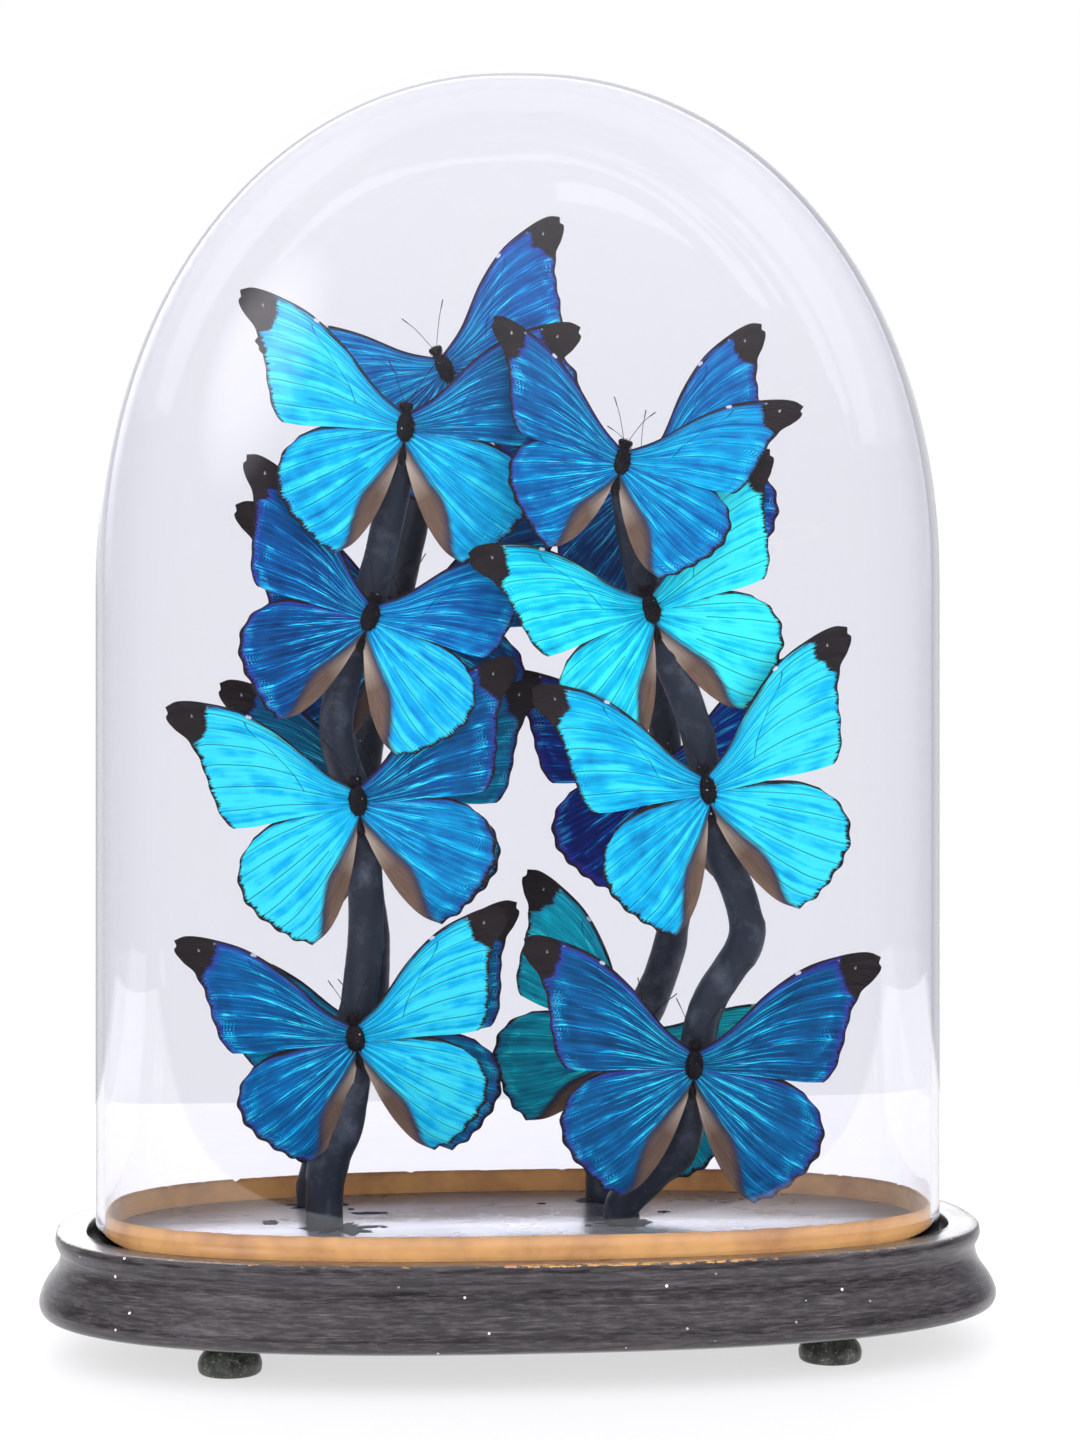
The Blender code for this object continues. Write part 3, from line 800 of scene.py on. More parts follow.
    # Painted shade in the troughs of fine pleats fans out from the body inside the cell.
    in_cell = add_node(tree, "MapRange", {"Value": cross}, span=(-9.0, -1.5, 1.0, 0.0))
    trough = add_node(tree, "Math", {0: fine_pleat, 1: -1.0}, operation="MULTIPLY")
    trough = add_node(tree, "Math", {0: trough, 1: 0.0}, operation="MAXIMUM")
    trough = add_node(tree, "Math", {0: trough, 1: 2.2}, operation="POWER")
    kept = add_node(tree, "ValToRGB", {"Fac": sweep}, stops=((0.40, BLACK), (0.56, WHITE)))
    wedge = add_node(tree, "Math", {0: trough, 1: in_cell}, operation="MULTIPLY")
    wedge = add_node(tree, "Math", {0: wedge, 1: kept}, operation="MULTIPLY")
    lines = add_node(tree, "Math", {0: lines, 1: wedge}, operation="MAXIMUM")
    faint = add_node(tree, "Math", {0: lines, 1: 0.72}, operation="MULTIPLY")
    lined = add_node(tree, "MixRGB", {"Fac": faint, "Color1": tinted, "Color2": linear("#052a5e")})

    # Black tip and margin, ragged where the blue runs out along the cells, with a violet fringe that is
    # painted light: it shows only on wings painted as in shade.
    ragged = add_node(tree, "Math", {0: streak, 1: 6.0, 2: black}, operation="MULTIPLY_ADD")
    violet = add_node(tree, "MapRange", {"Value": ragged}, span=(0.4, 2.8, 0.0, 0.6))
    dull = add_node(tree, "Math", {0: painted_light, 1: -1.4, 2: 1.15}, operation="MULTIPLY_ADD")
    fringe = add_node(tree, "Math", {0: violet, 1: dull}, operation="MULTIPLY", use_clamp=True)
    purple = add_node(tree, "MixRGB", {"Fac": fringe, "Color1": lined, "Color2": linear("#3f2fb4")})
    inside = add_node(tree, "MapRange", {"Value": ragged}, span=(2.7, 3.7, 0.0, 1.0))
    soot = add_node(tree, "MixRGB", {"Fac": streak, "Color1": settings.margin, "Color2": linear("#3a3230")})
    tipped = add_node(tree, "MixRGB", {"Fac": inside, "Color1": purple, "Color2": soot})
    spot = add_node(tree, "ValToRGB", {"Fac": fleck}, stops=((0.45, WHITE), (0.85, BLACK)))
    flecked = add_node(tree, "MixRGB", {"Fac": spot, "Color1": tipped, "Color2": linear("#d9dce0")})

    # Furry fold beside the body: painted blue-grey shade where it starts, brown, and pale near the body.
    fur = add_node(tree, "TexNoise", {"Vector": thin, "Scale": 1.3, "Detail": 4.0})
    frayed = add_node(tree, "Math", {0: fur, 1: 2.4, 2: fold}, operation="MULTIPLY_ADD")
    in_fold = add_node(tree, "MapRange", {"Value": frayed}, span=(0.6, 2.4, 0.0, 1.0))
    downy = add_node(
        tree, "MixRGB", {"Fac": fur, "Color1": settings.fold_colour, "Color2": linear("#8f7663")}
    )
    depth = add_node(tree, "Math", {0: fold, 1: 0.2}, operation="MULTIPLY")
    shaded = add_node(tree, "ValToRGB", {"Fac": depth}, stops=((0.15, WHITE), (0.75, BLACK)))
    rimmed = add_node(tree, "MixRGB", {"Fac": shaded, "Color1": downy, "Color2": linear("#3c3c52")})
    paled = add_node(tree, "MapRange", {"Value": reach}, span=(8.0, 30.0, 1.0, 0.0))
    deep_in = add_node(tree, "MapRange", {"Value": fold}, span=(1.0, 3.5, 0.0, 1.0))
    creamy = add_node(tree, "Math", {0: paled, 1: deep_in}, operation="MULTIPLY")
    pale = add_node(tree, "MixRGB", {"Fac": creamy, "Color1": rimmed, "Color2": linear("#d3c2ae")})
    dressed = add_node(tree, "MixRGB", {"Fac": in_fold, "Color1": flecked, "Color2": pale})

    bare = add_node(tree, "Math", {0: in_fold, 1: inside}, operation="MAXIMUM")
    rough = add_node(tree, "MapRange", {"Value": bare}, span=(0.0, 1.0, 0.38, 0.75))
    surface = streak
    for part, share in ((pleat, 0.25), (lines, 0.8), (grit, 0.5)):
        surface = add_node(tree, "Math", {0: part, 1: share, 2: surface}, operation="MULTIPLY_ADD")
    bump = add_node(tree, "Bump", {"Height": surface, "Strength": 0.6, "Distance": 0.0004})
    connect(tree, shader, Base_Color=dressed, Roughness=rough, Normal=bump)
    return material


def wing_underside(settings):
    """Brown scales of the underside: matt, banded, with a row of ringed eyespots."""
    material, tree, shader = new_material("Brown wing scales, underside", Roughness=0.65)
    fan = add_node(tree, "UVMap", uv_map="fan").outputs["UV"]
    vein = add_node(tree, "Attribute", attribute_name="vein").outputs["Fac"]
    edge = add_node(tree, "Attribute", attribute_name="edge").outputs["Fac"]
    spot = add_node(tree, "Attribute", attribute_name="spot").outputs["Fac"]
    thin = add_node(tree, "Mapping", {"Vector": fan, "Scale": (1.1, 0.25, 1.0)})
    mottle = add_node(tree, "TexNoise", {"Vector": thin, "Scale": 1.0, "Detail": 4.0})
    banded = add_node(tree, "Math", {0: mottle, 1: 4.0, 2: edge}, operation="MULTIPLY_ADD")
    ring = add_node(tree, "Math", {0: banded, 1: 0.05}, operation="MULTIPLY")
    bands = add_node(
        tree,
        "ValToRGB",
        {"Fac": ring},
        stops=(
            (0.08, linear("#3a2a22")),
            (0.16, linear("#a58a68")),
            (0.24, linear("#4a362a")),
            (0.60, settings.under),
            (1.0, linear("#6f5540")),
        ),
    )
    near = add_node(tree, "Math", {0: spot, 1: 0.2}, operation="MULTIPLY")
    eye = add_node(
        tree,
        "ValToRGB",
        {"Fac": near},
        stops=(
            (0.0, linear("#e8e2d8")),
            (0.12, linear("#15100e")),
            (0.46, linear("#15100e")),
            (0.52, linear("#c9a45c")),
            (0.66, linear("#c9a45c")),
            (0.72, linear("#2a1d17")),
        ),
    )
    round_eye = add_node(tree, "Math", {0: near, 1: 0.85}, operation="LESS_THAN")
    eyed = add_node(tree, "MixRGB", {"Fac": round_eye, "Color1": bands, "Color2": eye})
    line = add_node(tree, "ValToRGB", {"Fac": vein}, stops=((0.12, WHITE), (0.4, BLACK)))
    lined = add_node(tree, "MixRGB", {"Fac": line, "Color1": eyed, "Color2": linear("#2b1f19")})
    bump = add_node(tree, "Bump", {"Height": mottle, "Strength": 0.3, "Distance": 0.0002})
    connect(tree, shader, Base_Color=lined, Normal=bump)
    return material


def insect_fur(_settings):
    """Black hairy chitin: dull, with a few painted glints of the hard shell under the hair."""
    material, tree, shader = new_material("Insect fur and chitin", Roughness=0.55, Specular_IOR_Level=0.3)
    place = add_node(tree, "TexCoord").outputs["Object"]
    hair = add_node(tree, "TexNoise", {"Vector": place, "Scale": 1600.0, "Detail": 4.0})
    colour = add_node(
        tree, "MixRGB", {"Fac": hair, "Color1": linear("#0d0b0c"), "Color2": linear("#2d2527")}
    )
    # Painted glints, 0.8 mm wide.
    dots = add_node(tree, "TexVoronoi", {"Vector": place, "Scale": 520.0})
    rare = add_node(tree, "Math", {0: dots.outputs["Color"], 1: 0.8}, operation="GREATER_THAN")
    near = add_node(tree, "Math", {0: dots.outputs["Distance"], 1: 0.22}, operation="LESS_THAN")
    glint = add_node(tree, "Math", {0: rare, 1: near}, operation="MULTIPLY")
    spotted = add_node(tree, "MixRGB", {"Fac": glint, "Color1": colour, "Color2": linear("#c7c8cf")})
    bump = add_node(tree, "Bump", {"Height": hair, "Strength": 0.6, "Distance": 0.0003})
    connect(tree, shader, Base_Color=spotted, Normal=bump)
    return material


# Wings


def soft_step(low, high, value):
    """Rises smoothly from 0 at low to 1 at high."""
    t = min(max((value - low) / (high - low), 0.0), 1.0)
    return t * t * (3 - 2 * t)


class WingForm:
    """The flat form of one kind of wing, as a patch between its leading edge and its inner margin."""

    def __init__(self, kind):
        self.kind = kind
        self.veins = kind["veins"]
        self.columns = COLUMNS_PER_CELL * (len(self.veins) - 1)
        self.lines = {
            name: along(smooth([(*point, 0) for point in kind[name]], 30), 161) for name in WING_LINES
        }
        self.points = [
            [self.measure(column, row) for row in range(kind["rows"] + 1)]
            for column in range(self.columns + 1)
        ]

    def read(self, name, place):
        """A point of a line, at a share of its length."""
        line = self.lines[name]
        step = min(max(place, 0.0), 1.0) * (len(line) - 1)
        k = min(int(step), len(line) - 2)
        return line[k].lerp(line[k + 1], step - k)

    def point(self, u, t):
        """A point of the wing: u runs across the veins from the leading edge, t out along them."""
        lead = self.read("leading", t)
        inner = self.read("inner", t)
        corner = self.lines["leading"][-1].lerp(self.lines["inner"][-1], u)
        return lead.lerp(inner, u) + t * (self.read("margin", u) - corner)

    def measure(self, column, row):
        """Where a point of the grid lies, and how far it is from the wing's lines, in forewing lengths."""
        t = row / self.kind["rows"]
        cell, across = divmod(column, COLUMNS_PER_CELL)
        across /= COLUMNS_PER_CELL
        if cell == len(self.veins) - 1:
            cell, across = cell - 1, 1.0
        u = self.veins[cell] + across * (self.veins[cell + 1] - self.veins[cell])
        place = self.point(u, t)
        return {
            "u": u,
            "t": t,
            "across": across,
            "place": place,
            "span": (self.read("inner", t) - self.read("leading", t)).length,
            "vein": self.vein_distance(u, t, place),
            "phase": cell + across,
            "cross": self.cross_distance(u, t),
            "margin": (self.read("margin", u) - place).length,
            "leading": (self.read("leading", t) - place).length,
            "tip": (self.read("margin", 0.06) - place).length,
            "fleck": min((self.point(*spot) - place).length for spot in self.kind["flecks"]),
            "spot": self.spot_distance(place),
        }

    def vein_distance(self, u, t, place):
        """How far the nearest vein is that has started at t."""
        found = FAR
        for vein, start in zip(self.veins[:-1], self.kind["vein_starts"][:-1]):
            if t >= start - 0.01:
                found = min(found, (self.point(vein, t) - place).length)
        return found

    def cross_distance(self, u, t):
        """How far out along the wing the slanting vein is that closes the cell."""
        veins = self.veins
        starts = self.kind["vein_starts"]
        if self.kind is HINDWING or not veins[1] <= u <= veins[5]:
            return FAR
        ends = (starts[2] + 0.03, starts[2], starts[3], starts[4], starts[4] - 0.05)
        for k in range(4):
            if veins[k + 1] <= u <= veins[k + 2]:
                part = (u - veins[k + 1]) / (veins[k + 2] - veins[k + 1])
                return (t - ends[k] - part * (ends[k + 1] - ends[k])) * FAN_REACH
        return FAR

    def spot_distance(self, place):
        """How far the nearest eyespot of the underside is."""
        found = FAR
        for cell, reach in ((2, 0.80), (4, 0.76), (5, 0.74)):
            middle = self.point((self.veins[cell] + self.veins[cell + 1]) / 2, reach)
            found = min(found, (middle - place).length)
        return found


def relief(kind, at, seed, settings):
    """Height of the membrane over its flat form: camber, pleats between the veins, and slack."""
    u, t = at["u"], at["t"]
    bulge = settings.camber / MM * math.sin(math.pi * t) * math.sin(math.pi * u)
    ridge = abs(2 * at["across"] - 1) - 0.5
    pleat = settings.pleat / MM * ridge * soft_step(0.1, 0.6, t)
    slack = SLACK * noise.noise(Vector((u * 3.0, t * 3.5, seed))) * soft_step(0.05, 0.5, t)
    wrinkle = WRINKLE * noise.noise(Vector((u * 26.0, t * 3.0, seed + 9.0))) * soft_step(0.15, 0.8, t)
    dip = HINDWING_DIP * soft_step(0.80, 1.0, u) * (1.0 - 0.5 * t) if kind is HINDWING else 0.0
    return bulge + pleat + slack + wrinkle - dip


def wing_marks(kind, at, length, seed):
    """Millimetres into the black tip or margin, and into the fold beside the body."""
    u, t = at["u"], at["t"]
    edge = at["margin"] * length
    lead = at["leading"] * length
    if kind is HINDWING:
        fold = (u - 0.74 - 0.24 * soft_step(0.45, 1.0, t)) * at["span"] * length
        return max(1.2 + 0.6 * math.sin(math.pi * u) - edge, 2.4 - lead), fold
    patch = BLACK_TIP - at["tip"] * length + 2.0 * noise.noise(Vector((u * 9.0, t * 6.0, seed)))
    band = 2.4 - 1.2 * soft_step(0.1, 0.6, u) - edge
    return max(patch, band, 1.5 - lead), -FAR


def add_wing(bm, form, side, lift, swing, length, painted_light, cast, seed, settings):
    """Adds one wing, as a thin closed sheet, to a butterfly that is still flat on its back."""
    kind = form.kind
    made = bmesh.ops.create_grid(bm, x_segments=form.columns, y_segments=kind["rows"], size=0.5)
    verts = made["verts"]
    layers = {name: bm.verts.layers.float[name] for name in (*WING_LAYERS, "spot")}
    fan = bm.loops.layers.uv["fan"]
    spin = Matrix.Rotation(math.radians(swing), 4, "Z") if kind is FOREWING else Matrix.Identity(4)
    raise_wing = Matrix.Rotation(-math.radians(lift), 4, "Y")
    places = {}
    for vert in verts:
        column = round((vert.co.x + 0.5) * form.columns)
        row = round((vert.co.y + 0.5) * kind["rows"])
        at = form.points[column][row]
        u, t = at["u"], at["t"]
        vert[layers["black"]], vert[layers["fold"]] = wing_marks(kind, at, length, seed)
        vert[layers["edge"]] = at["margin"] * length
        vert[layers["phase"]] = at["phase"]
        vert[layers["fleck"]] = at["fleck"] * length
        vert[layers["vein"]] = at["vein"] * length
        vert[layers["cross"]] = at["cross"] * length
        vert[layers["spot"]] = at["spot"] * length
        # Painted light: a brightly lit wing is painted a little darker near the root.
        rooted = 0.26 * (1.0 - soft_step(0.05, 0.5, t)) * soft_step(0.4, 0.9, painted_light)
        vert[layers["painted_light"]] = painted_light - rooted
        vert[layers["cast"]] = cast
        places[vert] = (u * FAN_WIDTH * length + seed * 100.0, t * FAN_REACH * length)
        # The margin is drawn in a little between each two veins.
        nick = kind["scallop"] * math.sin(math.pi * at["across"]) ** 2 * t**10
        flat = at["place"] * (length - nick)
        flat.z = relief(kind, at, seed, settings)
        point = raise_wing @ (spin @ flat + Vector((0.0, 0.0, kind["level"])))
        vert.co = Vector((side * point.x, point.y, point.z))
    top = made_faces(verts)
    if side < 0:
        bmesh.ops.reverse_faces(bm, faces=top)
    for face in top:
        face.normal_update()
        for loop in face.loops:
            loop[fan].uv = places[loop.vert]
    for vert in verts:
        vert.normal_update()
    normals = {tuple(vert.co): vert.normal.copy() for vert in verts}
    grown = bmesh.ops.extrude_face_region(bm, geom=top, use_keep_orig=True)["geom"]
    for item in grown:
        if isinstance(item, bmesh.types.BMVert):
            item.co -= normals[tuple(item.co)] * WING_THICKNESS
        if isinstance(item, bmesh.types.BMFace):
            item.material_index = 1


def made_faces(verts):
    """The faces whose corners are all among some vertices."""
    chosen = set(verts)
    faces = {face: None for vert in verts for face in vert.link_faces}
    return [face for face in faces if all(vert in chosen for vert in face.verts)]


# Body


def add_ball(bm, place, size, rings=10):
    """Adds a ball, stretched to a size in each direction."""
    matrix = Matrix.Translation(place) @ Matrix.Diagonal((*size, 1.0))
    made = bmesh.ops.create_uvsphere(bm, u_segments=14, v_segments=rings, radius=1.0, matrix=matrix)
    return made["verts"]


def add_fur(bm, verts, centre, length, seed):
    """Adds two short bent hairs on every vertex of a ball."""
    for k, vert in enumerate(verts):
        out = (vert.co - centre).normalized()
        for turn_by in (0.0, 5.0):
            sway = noise.noise_vector(Vector((k * 1.7, seed, turn_by)))
            lean = (out + 0.9 * sway + Vector((0.0, -0.3, 0.1))).normalized()
            tall = length * (0.6 + 0.8 * abs(sway.x))
            turn = lean.to_track_quat("Z", "Y").to_matrix().to_4x4()
            matrix = Matrix.Translation(vert.co + lean * tall * 0.35) @ turn
            bmesh.ops.create_cone(
                bm, cap_ends=True, segments=3, radius1=0.16, radius2=0.02, depth=tall, matrix=matrix
            )


def add_rod(bm, points, radii, sides):
    """Adds a closed round rod along some points."""
    made = bmesh.ops.create_circle(bm, segments=sides, radius=1.0, cap_ends=True)
    ring = made["verts"]
    shape = {vert: vert.co.copy() for vert in ring}
    cap = made_faces(ring)
    everything = list(ring)
    ahead = [*points[1:], 2 * points[-1] - points[-2]]
    behind = [2 * points[0] - points[1], *points[:-1]]
    heading = (ahead[0] - behind[0]).normalized()
    turn = heading.to_track_quat("Z", "Y")
    for k, (point, before, after, radius) in enumerate(zip(points, behind, ahead, radii)):
        if k:
            grown = bmesh.ops.extrude_face_region(bm, geom=cap)["geom"]
            last = shape
            ring = [item for item in grown if isinstance(item, bmesh.types.BMVert)]
            cap = [item for item in grown if isinstance(item, bmesh.types.BMFace)]
            shape = {}
            for vert in ring:
                beside = (other for edge in vert.link_edges for other in edge.verts)
                shape[vert] = next(last[other] for other in beside if other in last)
            everything.extend(ring)
        # Each ring turns no more than the rod bends there, so the rod isn't twisted.
        now = (after - before).normalized()
        turn = heading.rotation_difference(now) @ turn
        heading = now
        for vert in ring:
            vert.co = point + turn @ (shape[vert] * radius)
    return everything


def add_body(bm, seed):
    """Adds head, thorax, the stub of the abdomen, eyes, hair and antennae."""
    noise.seed_set(NOISE_SEED)
    thorax = (Vector((0.0, 0.8, 0.7)), (3.9, 6.2, 3.4), 12, 1.9)
    head = (Vector((0.0, 8.3, 0.9)), (2.3, 2.1, 2.0), 8, 1.2)
    abdomen = (Vector((0.0, -8.0, -1.8)), (2.0, 5.4, 1.8), 8, 0.9)
    for centre, size, rings, length in (thorax, head, abdomen):
        verts = add_ball(bm, centre, size, rings)
        for vert in verts:
            lump = 0.5 * noise.noise(vert.co * 0.7 + Vector((seed, 0, 0)))
            vert.co += lump * (vert.co - centre).normalized()
        add_fur(bm, verts, centre, length, seed)
    for side in (-1, 1):
        add_ball(bm, Vector((side * 1.8, 9.0, 1.3)), (1.1, 1.2, 1.2), 6)
        sway = noise.noise_vector(Vector((seed, side, 3.0)))
        route = [
            Vector((side * 0.9, 9.8, 1.4)),
            Vector((side * (2.6 + sway.x), 14.0, 2.0 + sway.y)),
            Vector((side * (5.4 + 2.5 * sway.x), 20.0, 2.8 + 2.0 * sway.y)),
            Vector((side * (9.0 + 4.0 * sway.x), 25.5 + 2.0 * sway.z, 3.4 + 3.0 * sway.y)),
        ]
        points = smooth(route, 5)
        radii = [0.13 if k < len(points) - 3 else 0.22 for k in range(len(points))]
        add_rod(bm, points, radii, 5)
    for face in bm.faces:
        face.material_index = 2


def branch_points(name, per_span):
    route = [(x, y, z + FLOOR_TOP + GAP) for x, y, z in BRANCHES[name][2]]
    return smooth(route, per_span)


def branch_at(name, height):
    """Middle and radius of a branch at a height over the floor board."""
    foot_radius, tip_radius, _ = BRANCHES[name]
    points = branch_points(name, 16)
    level = height + FLOOR_TOP + GAP
    i = min(range(len(points)), key=lambda k: abs(points[k].z - level))
    radius = foot_radius + (tip_radius - foot_radius) * i / (len(points) - 1)
    return points[i], radius


def butterfly_matrix(name):
    """Where a butterfly sits on its branch."""
    branch, height, aside, turn, lean, roll = BUTTERFLIES[name][:6]
    middle, radius = branch_at(branch, height)
    place = middle + Vector((aside, -radius - BODY_RADIUS, 0.0))
    spin = Matrix.Rotation(math.radians(turn), 4, "Z")
    spin @= Matrix.Rotation(math.radians(90.0 - lean), 4, "X")
    spin @= Matrix.Rotation(math.radians(roll), 4, "Z")
    return Matrix.Translation(place) @ spin


def make_butterfly(name, seed, forms, materials, settings):
    swing, lift_left, lift_right, length = BUTTERFLIES[name][6:]
    painted_lights = PAINTED_WING_LIGHT[name]
    bm = bmesh.new()
    for layer in (*WING_LAYERS, "spot"):
        bm.verts.layers.float.new(layer)
    bm.loops.layers.uv.new("fan")
    add_body(bm, seed)
    for k, (side, lift) in enumerate(((-1, lift_left), (1, lift_right))):
        fore, hind = painted_lights[2 * k], painted_lights[2 * k + 1]
        add_wing(bm, forms[1], side, lift, swing, length, hind, painted_lights[4], seed + 4 * k + 1, settings)
        add_wing(bm, forms[0], side, lift, swing, length, fore, painted_lights[4], seed + 4 * k + 2, settings)
    bmesh.ops.transform(bm, matrix=butterfly_matrix(name), verts=bm.verts)
    return finish_piece(bm, f"{name}_wings_and_body", materials, [f"butterfly_{name}"], 50)


# Operators


class DOME_OT_base(bpy.types.Operator):
    """Model the moulded base and its four feet"""

    bl_idname = "dome.base"
    bl_label = "Base and feet"

    def execute(self, context):
        settings = context.scene.dome.base
        wood = ebonised_wood(settings)
        ogee = [tuple(point) for point in smooth([(x, z, 0) for x, z in OGEE], 6)]
        edge = ((14.7, 46.25), (14.2, RIM_TOP), (11.5, RIM_TOP))
        inner = ((7.0, RIM_TOP), (3.8, RIM_TOP), (RIM_INNER_OFFSET, 46.0), (RIM_INNER_OFFSET, SEAT_HEIGHT))
        profile = [*[(x, z) for x, z, _ in ogee], *edge, *inner]
        bm = bmesh.new()
        oval_spin(bm, profile, 300)
        close_ends(bm)
        chip = bm.verts.layers.float.new("chip")
        dust = bm.verts.layers.float.new("dust")
        for vert in bm.verts:
            # Only the rim's outer edge and the lowest bulge are knocked, and the front of the rim is rubbed.
            rim = soft_step(45.0, 46.2, vert.co.z) * soft_step(8.0, 11.0, self.offset_at(vert.co))
            low = 0.30 * (1.0 - soft_step(0.5, 3.0, abs(vert.co.z - 18.0)))
            rubbed = soft_step(-25.0, 0.0, vert.co.x) * (1.0 - soft_step(62.0, 92.0, vert.co.x))
            front = 1.0 - soft_step(-70.0, -50.0, vert.co.y)
            vert[chip] = rim * (0.62 + 0.15 * rubbed * front) + low
            vert[dust] = soft_step(46.0, 46.4, vert.co.z)
            knock = noise.noise(Vector((vert.co.x * 0.11, vert.co.y * 0.11, 4.0)))
            inwards = Vector((-vert.co.x, -vert.co.y, -60.0)).normalized()
            vert.co += inwards * rim * soft_step(0.25, 0.5, knock) * settings.chip_depth / MM
        finish_piece(bm, "moulded_base", [wood], ["base_moulding"], 60)
        paint = rubbed_paint(settings)
        for depth, y in (("front", -FOOT_Y), ("back", FOOT_Y)):
            for side, x in (("left", -FOOT_X), ("right", FOOT_X)):
                self.make_foot(f"{depth}_{side}", x, y, paint)
        return {"FINISHED"}

    def offset_at(self, place):
        """How far a point lies outside the glass, near enough."""
        x = abs(place.x) ** OVAL_POWER
        y = abs(place.y) ** OVAL_POWER
        low, high = 0.0, 40.0
        for _ in range(12):
            middle = (low + high) / 2
            across = x / (GLASS_HALF_LENGTH + middle) ** OVAL_POWER
            deep = y / (GLASS_HALF_DEPTH + middle) ** OVAL_POWER
            low, high = (middle, high) if across + deep > 1.0 else (low, middle)
        return low

    def make_foot(self, corner, x, y, paint):
        outline = smooth([(radius, height, 0) for radius, height in FOOT_OUTLINE], 3)
        bm = bmesh.new()
        spin_profile(bm, [(point.x, point.y) for point in outline], 56)
        close_ends(bm)
        bmesh.ops.translate(bm, vec=(x, y, 0), verts=bm.verts)
        finish_piece(bm, f"bun_foot_{corner}", [paint], [f"foot_{corner}"], 60)


class DOME_OT_floor(bpy.types.Operator):
    """Model the floor board and the veneer band round it"""

    bl_idname = "dome.floor"
    bl_label = "Floor board and band"

    def execute(self, context):
        settings = context.scene.dome.floor
        bm = bmesh.new()
        bottom = SEAT_HEIGHT + GAP
        oval_spin(bm, [(FLOOR_OFFSET, bottom), (FLOOR_OFFSET, 45.2), (FLOOR_OFFSET - 0.3, FLOOR_TOP)], 240)
        close_ends(bm)
        finish_piece(bm, "lacquered_floor", [black_lacquer(settings)], ["floor_board"], 50)
        self.make_band(bottom, honey_veneer(settings))
        return {"FINISHED"}

    def make_band(self, bottom, veneer):
        inside = BAND_OUTER_OFFSET - BAND_THICKNESS
        outer = [(BAND_OUTER_OFFSET, bottom + (BAND_TOP - bottom) * k / 8) for k in range(9)]
        inner = [(inside, height) for _, height in reversed(outer)]
        bm = bmesh.new()
        oval_spin(bm, [*outer, *inner, outer[0]], 640)
        bmesh.ops.remove_doubles(bm, verts=bm.verts, dist=0.001)
        bmesh.ops.recalc_face_normals(bm, faces=bm.faces)
        band_darkening = bm.verts.layers.float.new("band_darkening")
        for vert in bm.verts:
            high = soft_step(BAND_TOP - 1.6, BAND_TOP, vert.co.z)
            behind = soft_step(-20.0, 40.0, vert.co.y)
            torn = noise.noise(Vector((vert.co.x * 0.22, vert.co.y * 0.22, 7.0)))
            nick = soft_step(0.25, 0.55, torn) * (0.25 + 0.75 * behind) + 0.25 * abs(torn)
            low = 1.0 - soft_step(FLOOR_TOP - 1.0, FLOOR_TOP + 1.2, vert.co.z)
            vert[band_darkening] = min(0.40 * behind + 0.7 * high + 0.5 * low * behind, 1.3)
            vert.co.z -= high * nick * 1.1
        finish_piece(bm, "veneer_band", [veneer], ["card_band"], 50)


class DOME_OT_glass(bpy.types.Operator):
    """Model the oval glass"""

    bl_idname = "dome.glass"
    bl_label = "Glass"

    def execute(self, context):
        settings = context.scene.dome.glass
        bm = bmesh.new()
        bmesh.ops.create_uvsphere(bm, u_segments=160, v_segments=96, radius=1.0)
        below = [vert for vert in bm.verts if vert.co.z < -0.001]
        bmesh.ops.delete(bm, geom=below, context="VERTS")
        for vert in bm.verts:
            vert.co = self.arch_place(vert.co)
        foot = [edge for edge in bm.edges if edge.is_boundary]
        bottom = SEAT_HEIGHT + GAP
        for k in range(1, 25):
            grown = bmesh.ops.extrude_edge_only(bm, edges=foot)["geom"]
            for item in grown:
                if isinstance(item, bmesh.types.BMVert):
                    item.co.z = SPRING_HEIGHT + (bottom - SPRING_HEIGHT) * k / 24
            foot = [edge for edge in bm.edges if edge.is_boundary]
        bmesh.ops.recalc_face_normals(bm, faces=bm.faces)
        glass = finish_piece(bm, "blown_dome", [blown_glass(settings)], ["glass_dome"])
        wall = glass.modifiers.new("wall", "SOLIDIFY")
        wall.thickness = settings.wall
        wall.offset = -1.0
        wall.use_even_offset = True
        return {"FINISHED"}

    def arch_place(self, unit):
        """The place on the arch of a point of the unit sphere."""
        level = math.hypot(unit.x, unit.y)
        rise = max(unit.z, 0.0) ** (2 / ARCH_POWER_FRONT)
        front = level ** (2 / ARCH_POWER_FRONT)
        side = max(1.0 - rise**ARCH_POWER_SIDE, 0.0) ** (1 / ARCH_POWER_SIDE)
        if level < 1e-6:
            return Vector((0.0, 0.0, GLASS_TOP))
        x = GLASS_HALF_LENGTH * front * signed_power(unit.x / level, 2 / OVAL_POWER)
        y = GLASS_HALF_DEPTH * side * signed_power(unit.y / level, 2 / OVAL_POWER)
        return Vector((x, y, SPRING_HEIGHT + (GLASS_TOP - SPRING_HEIGHT) * rise))


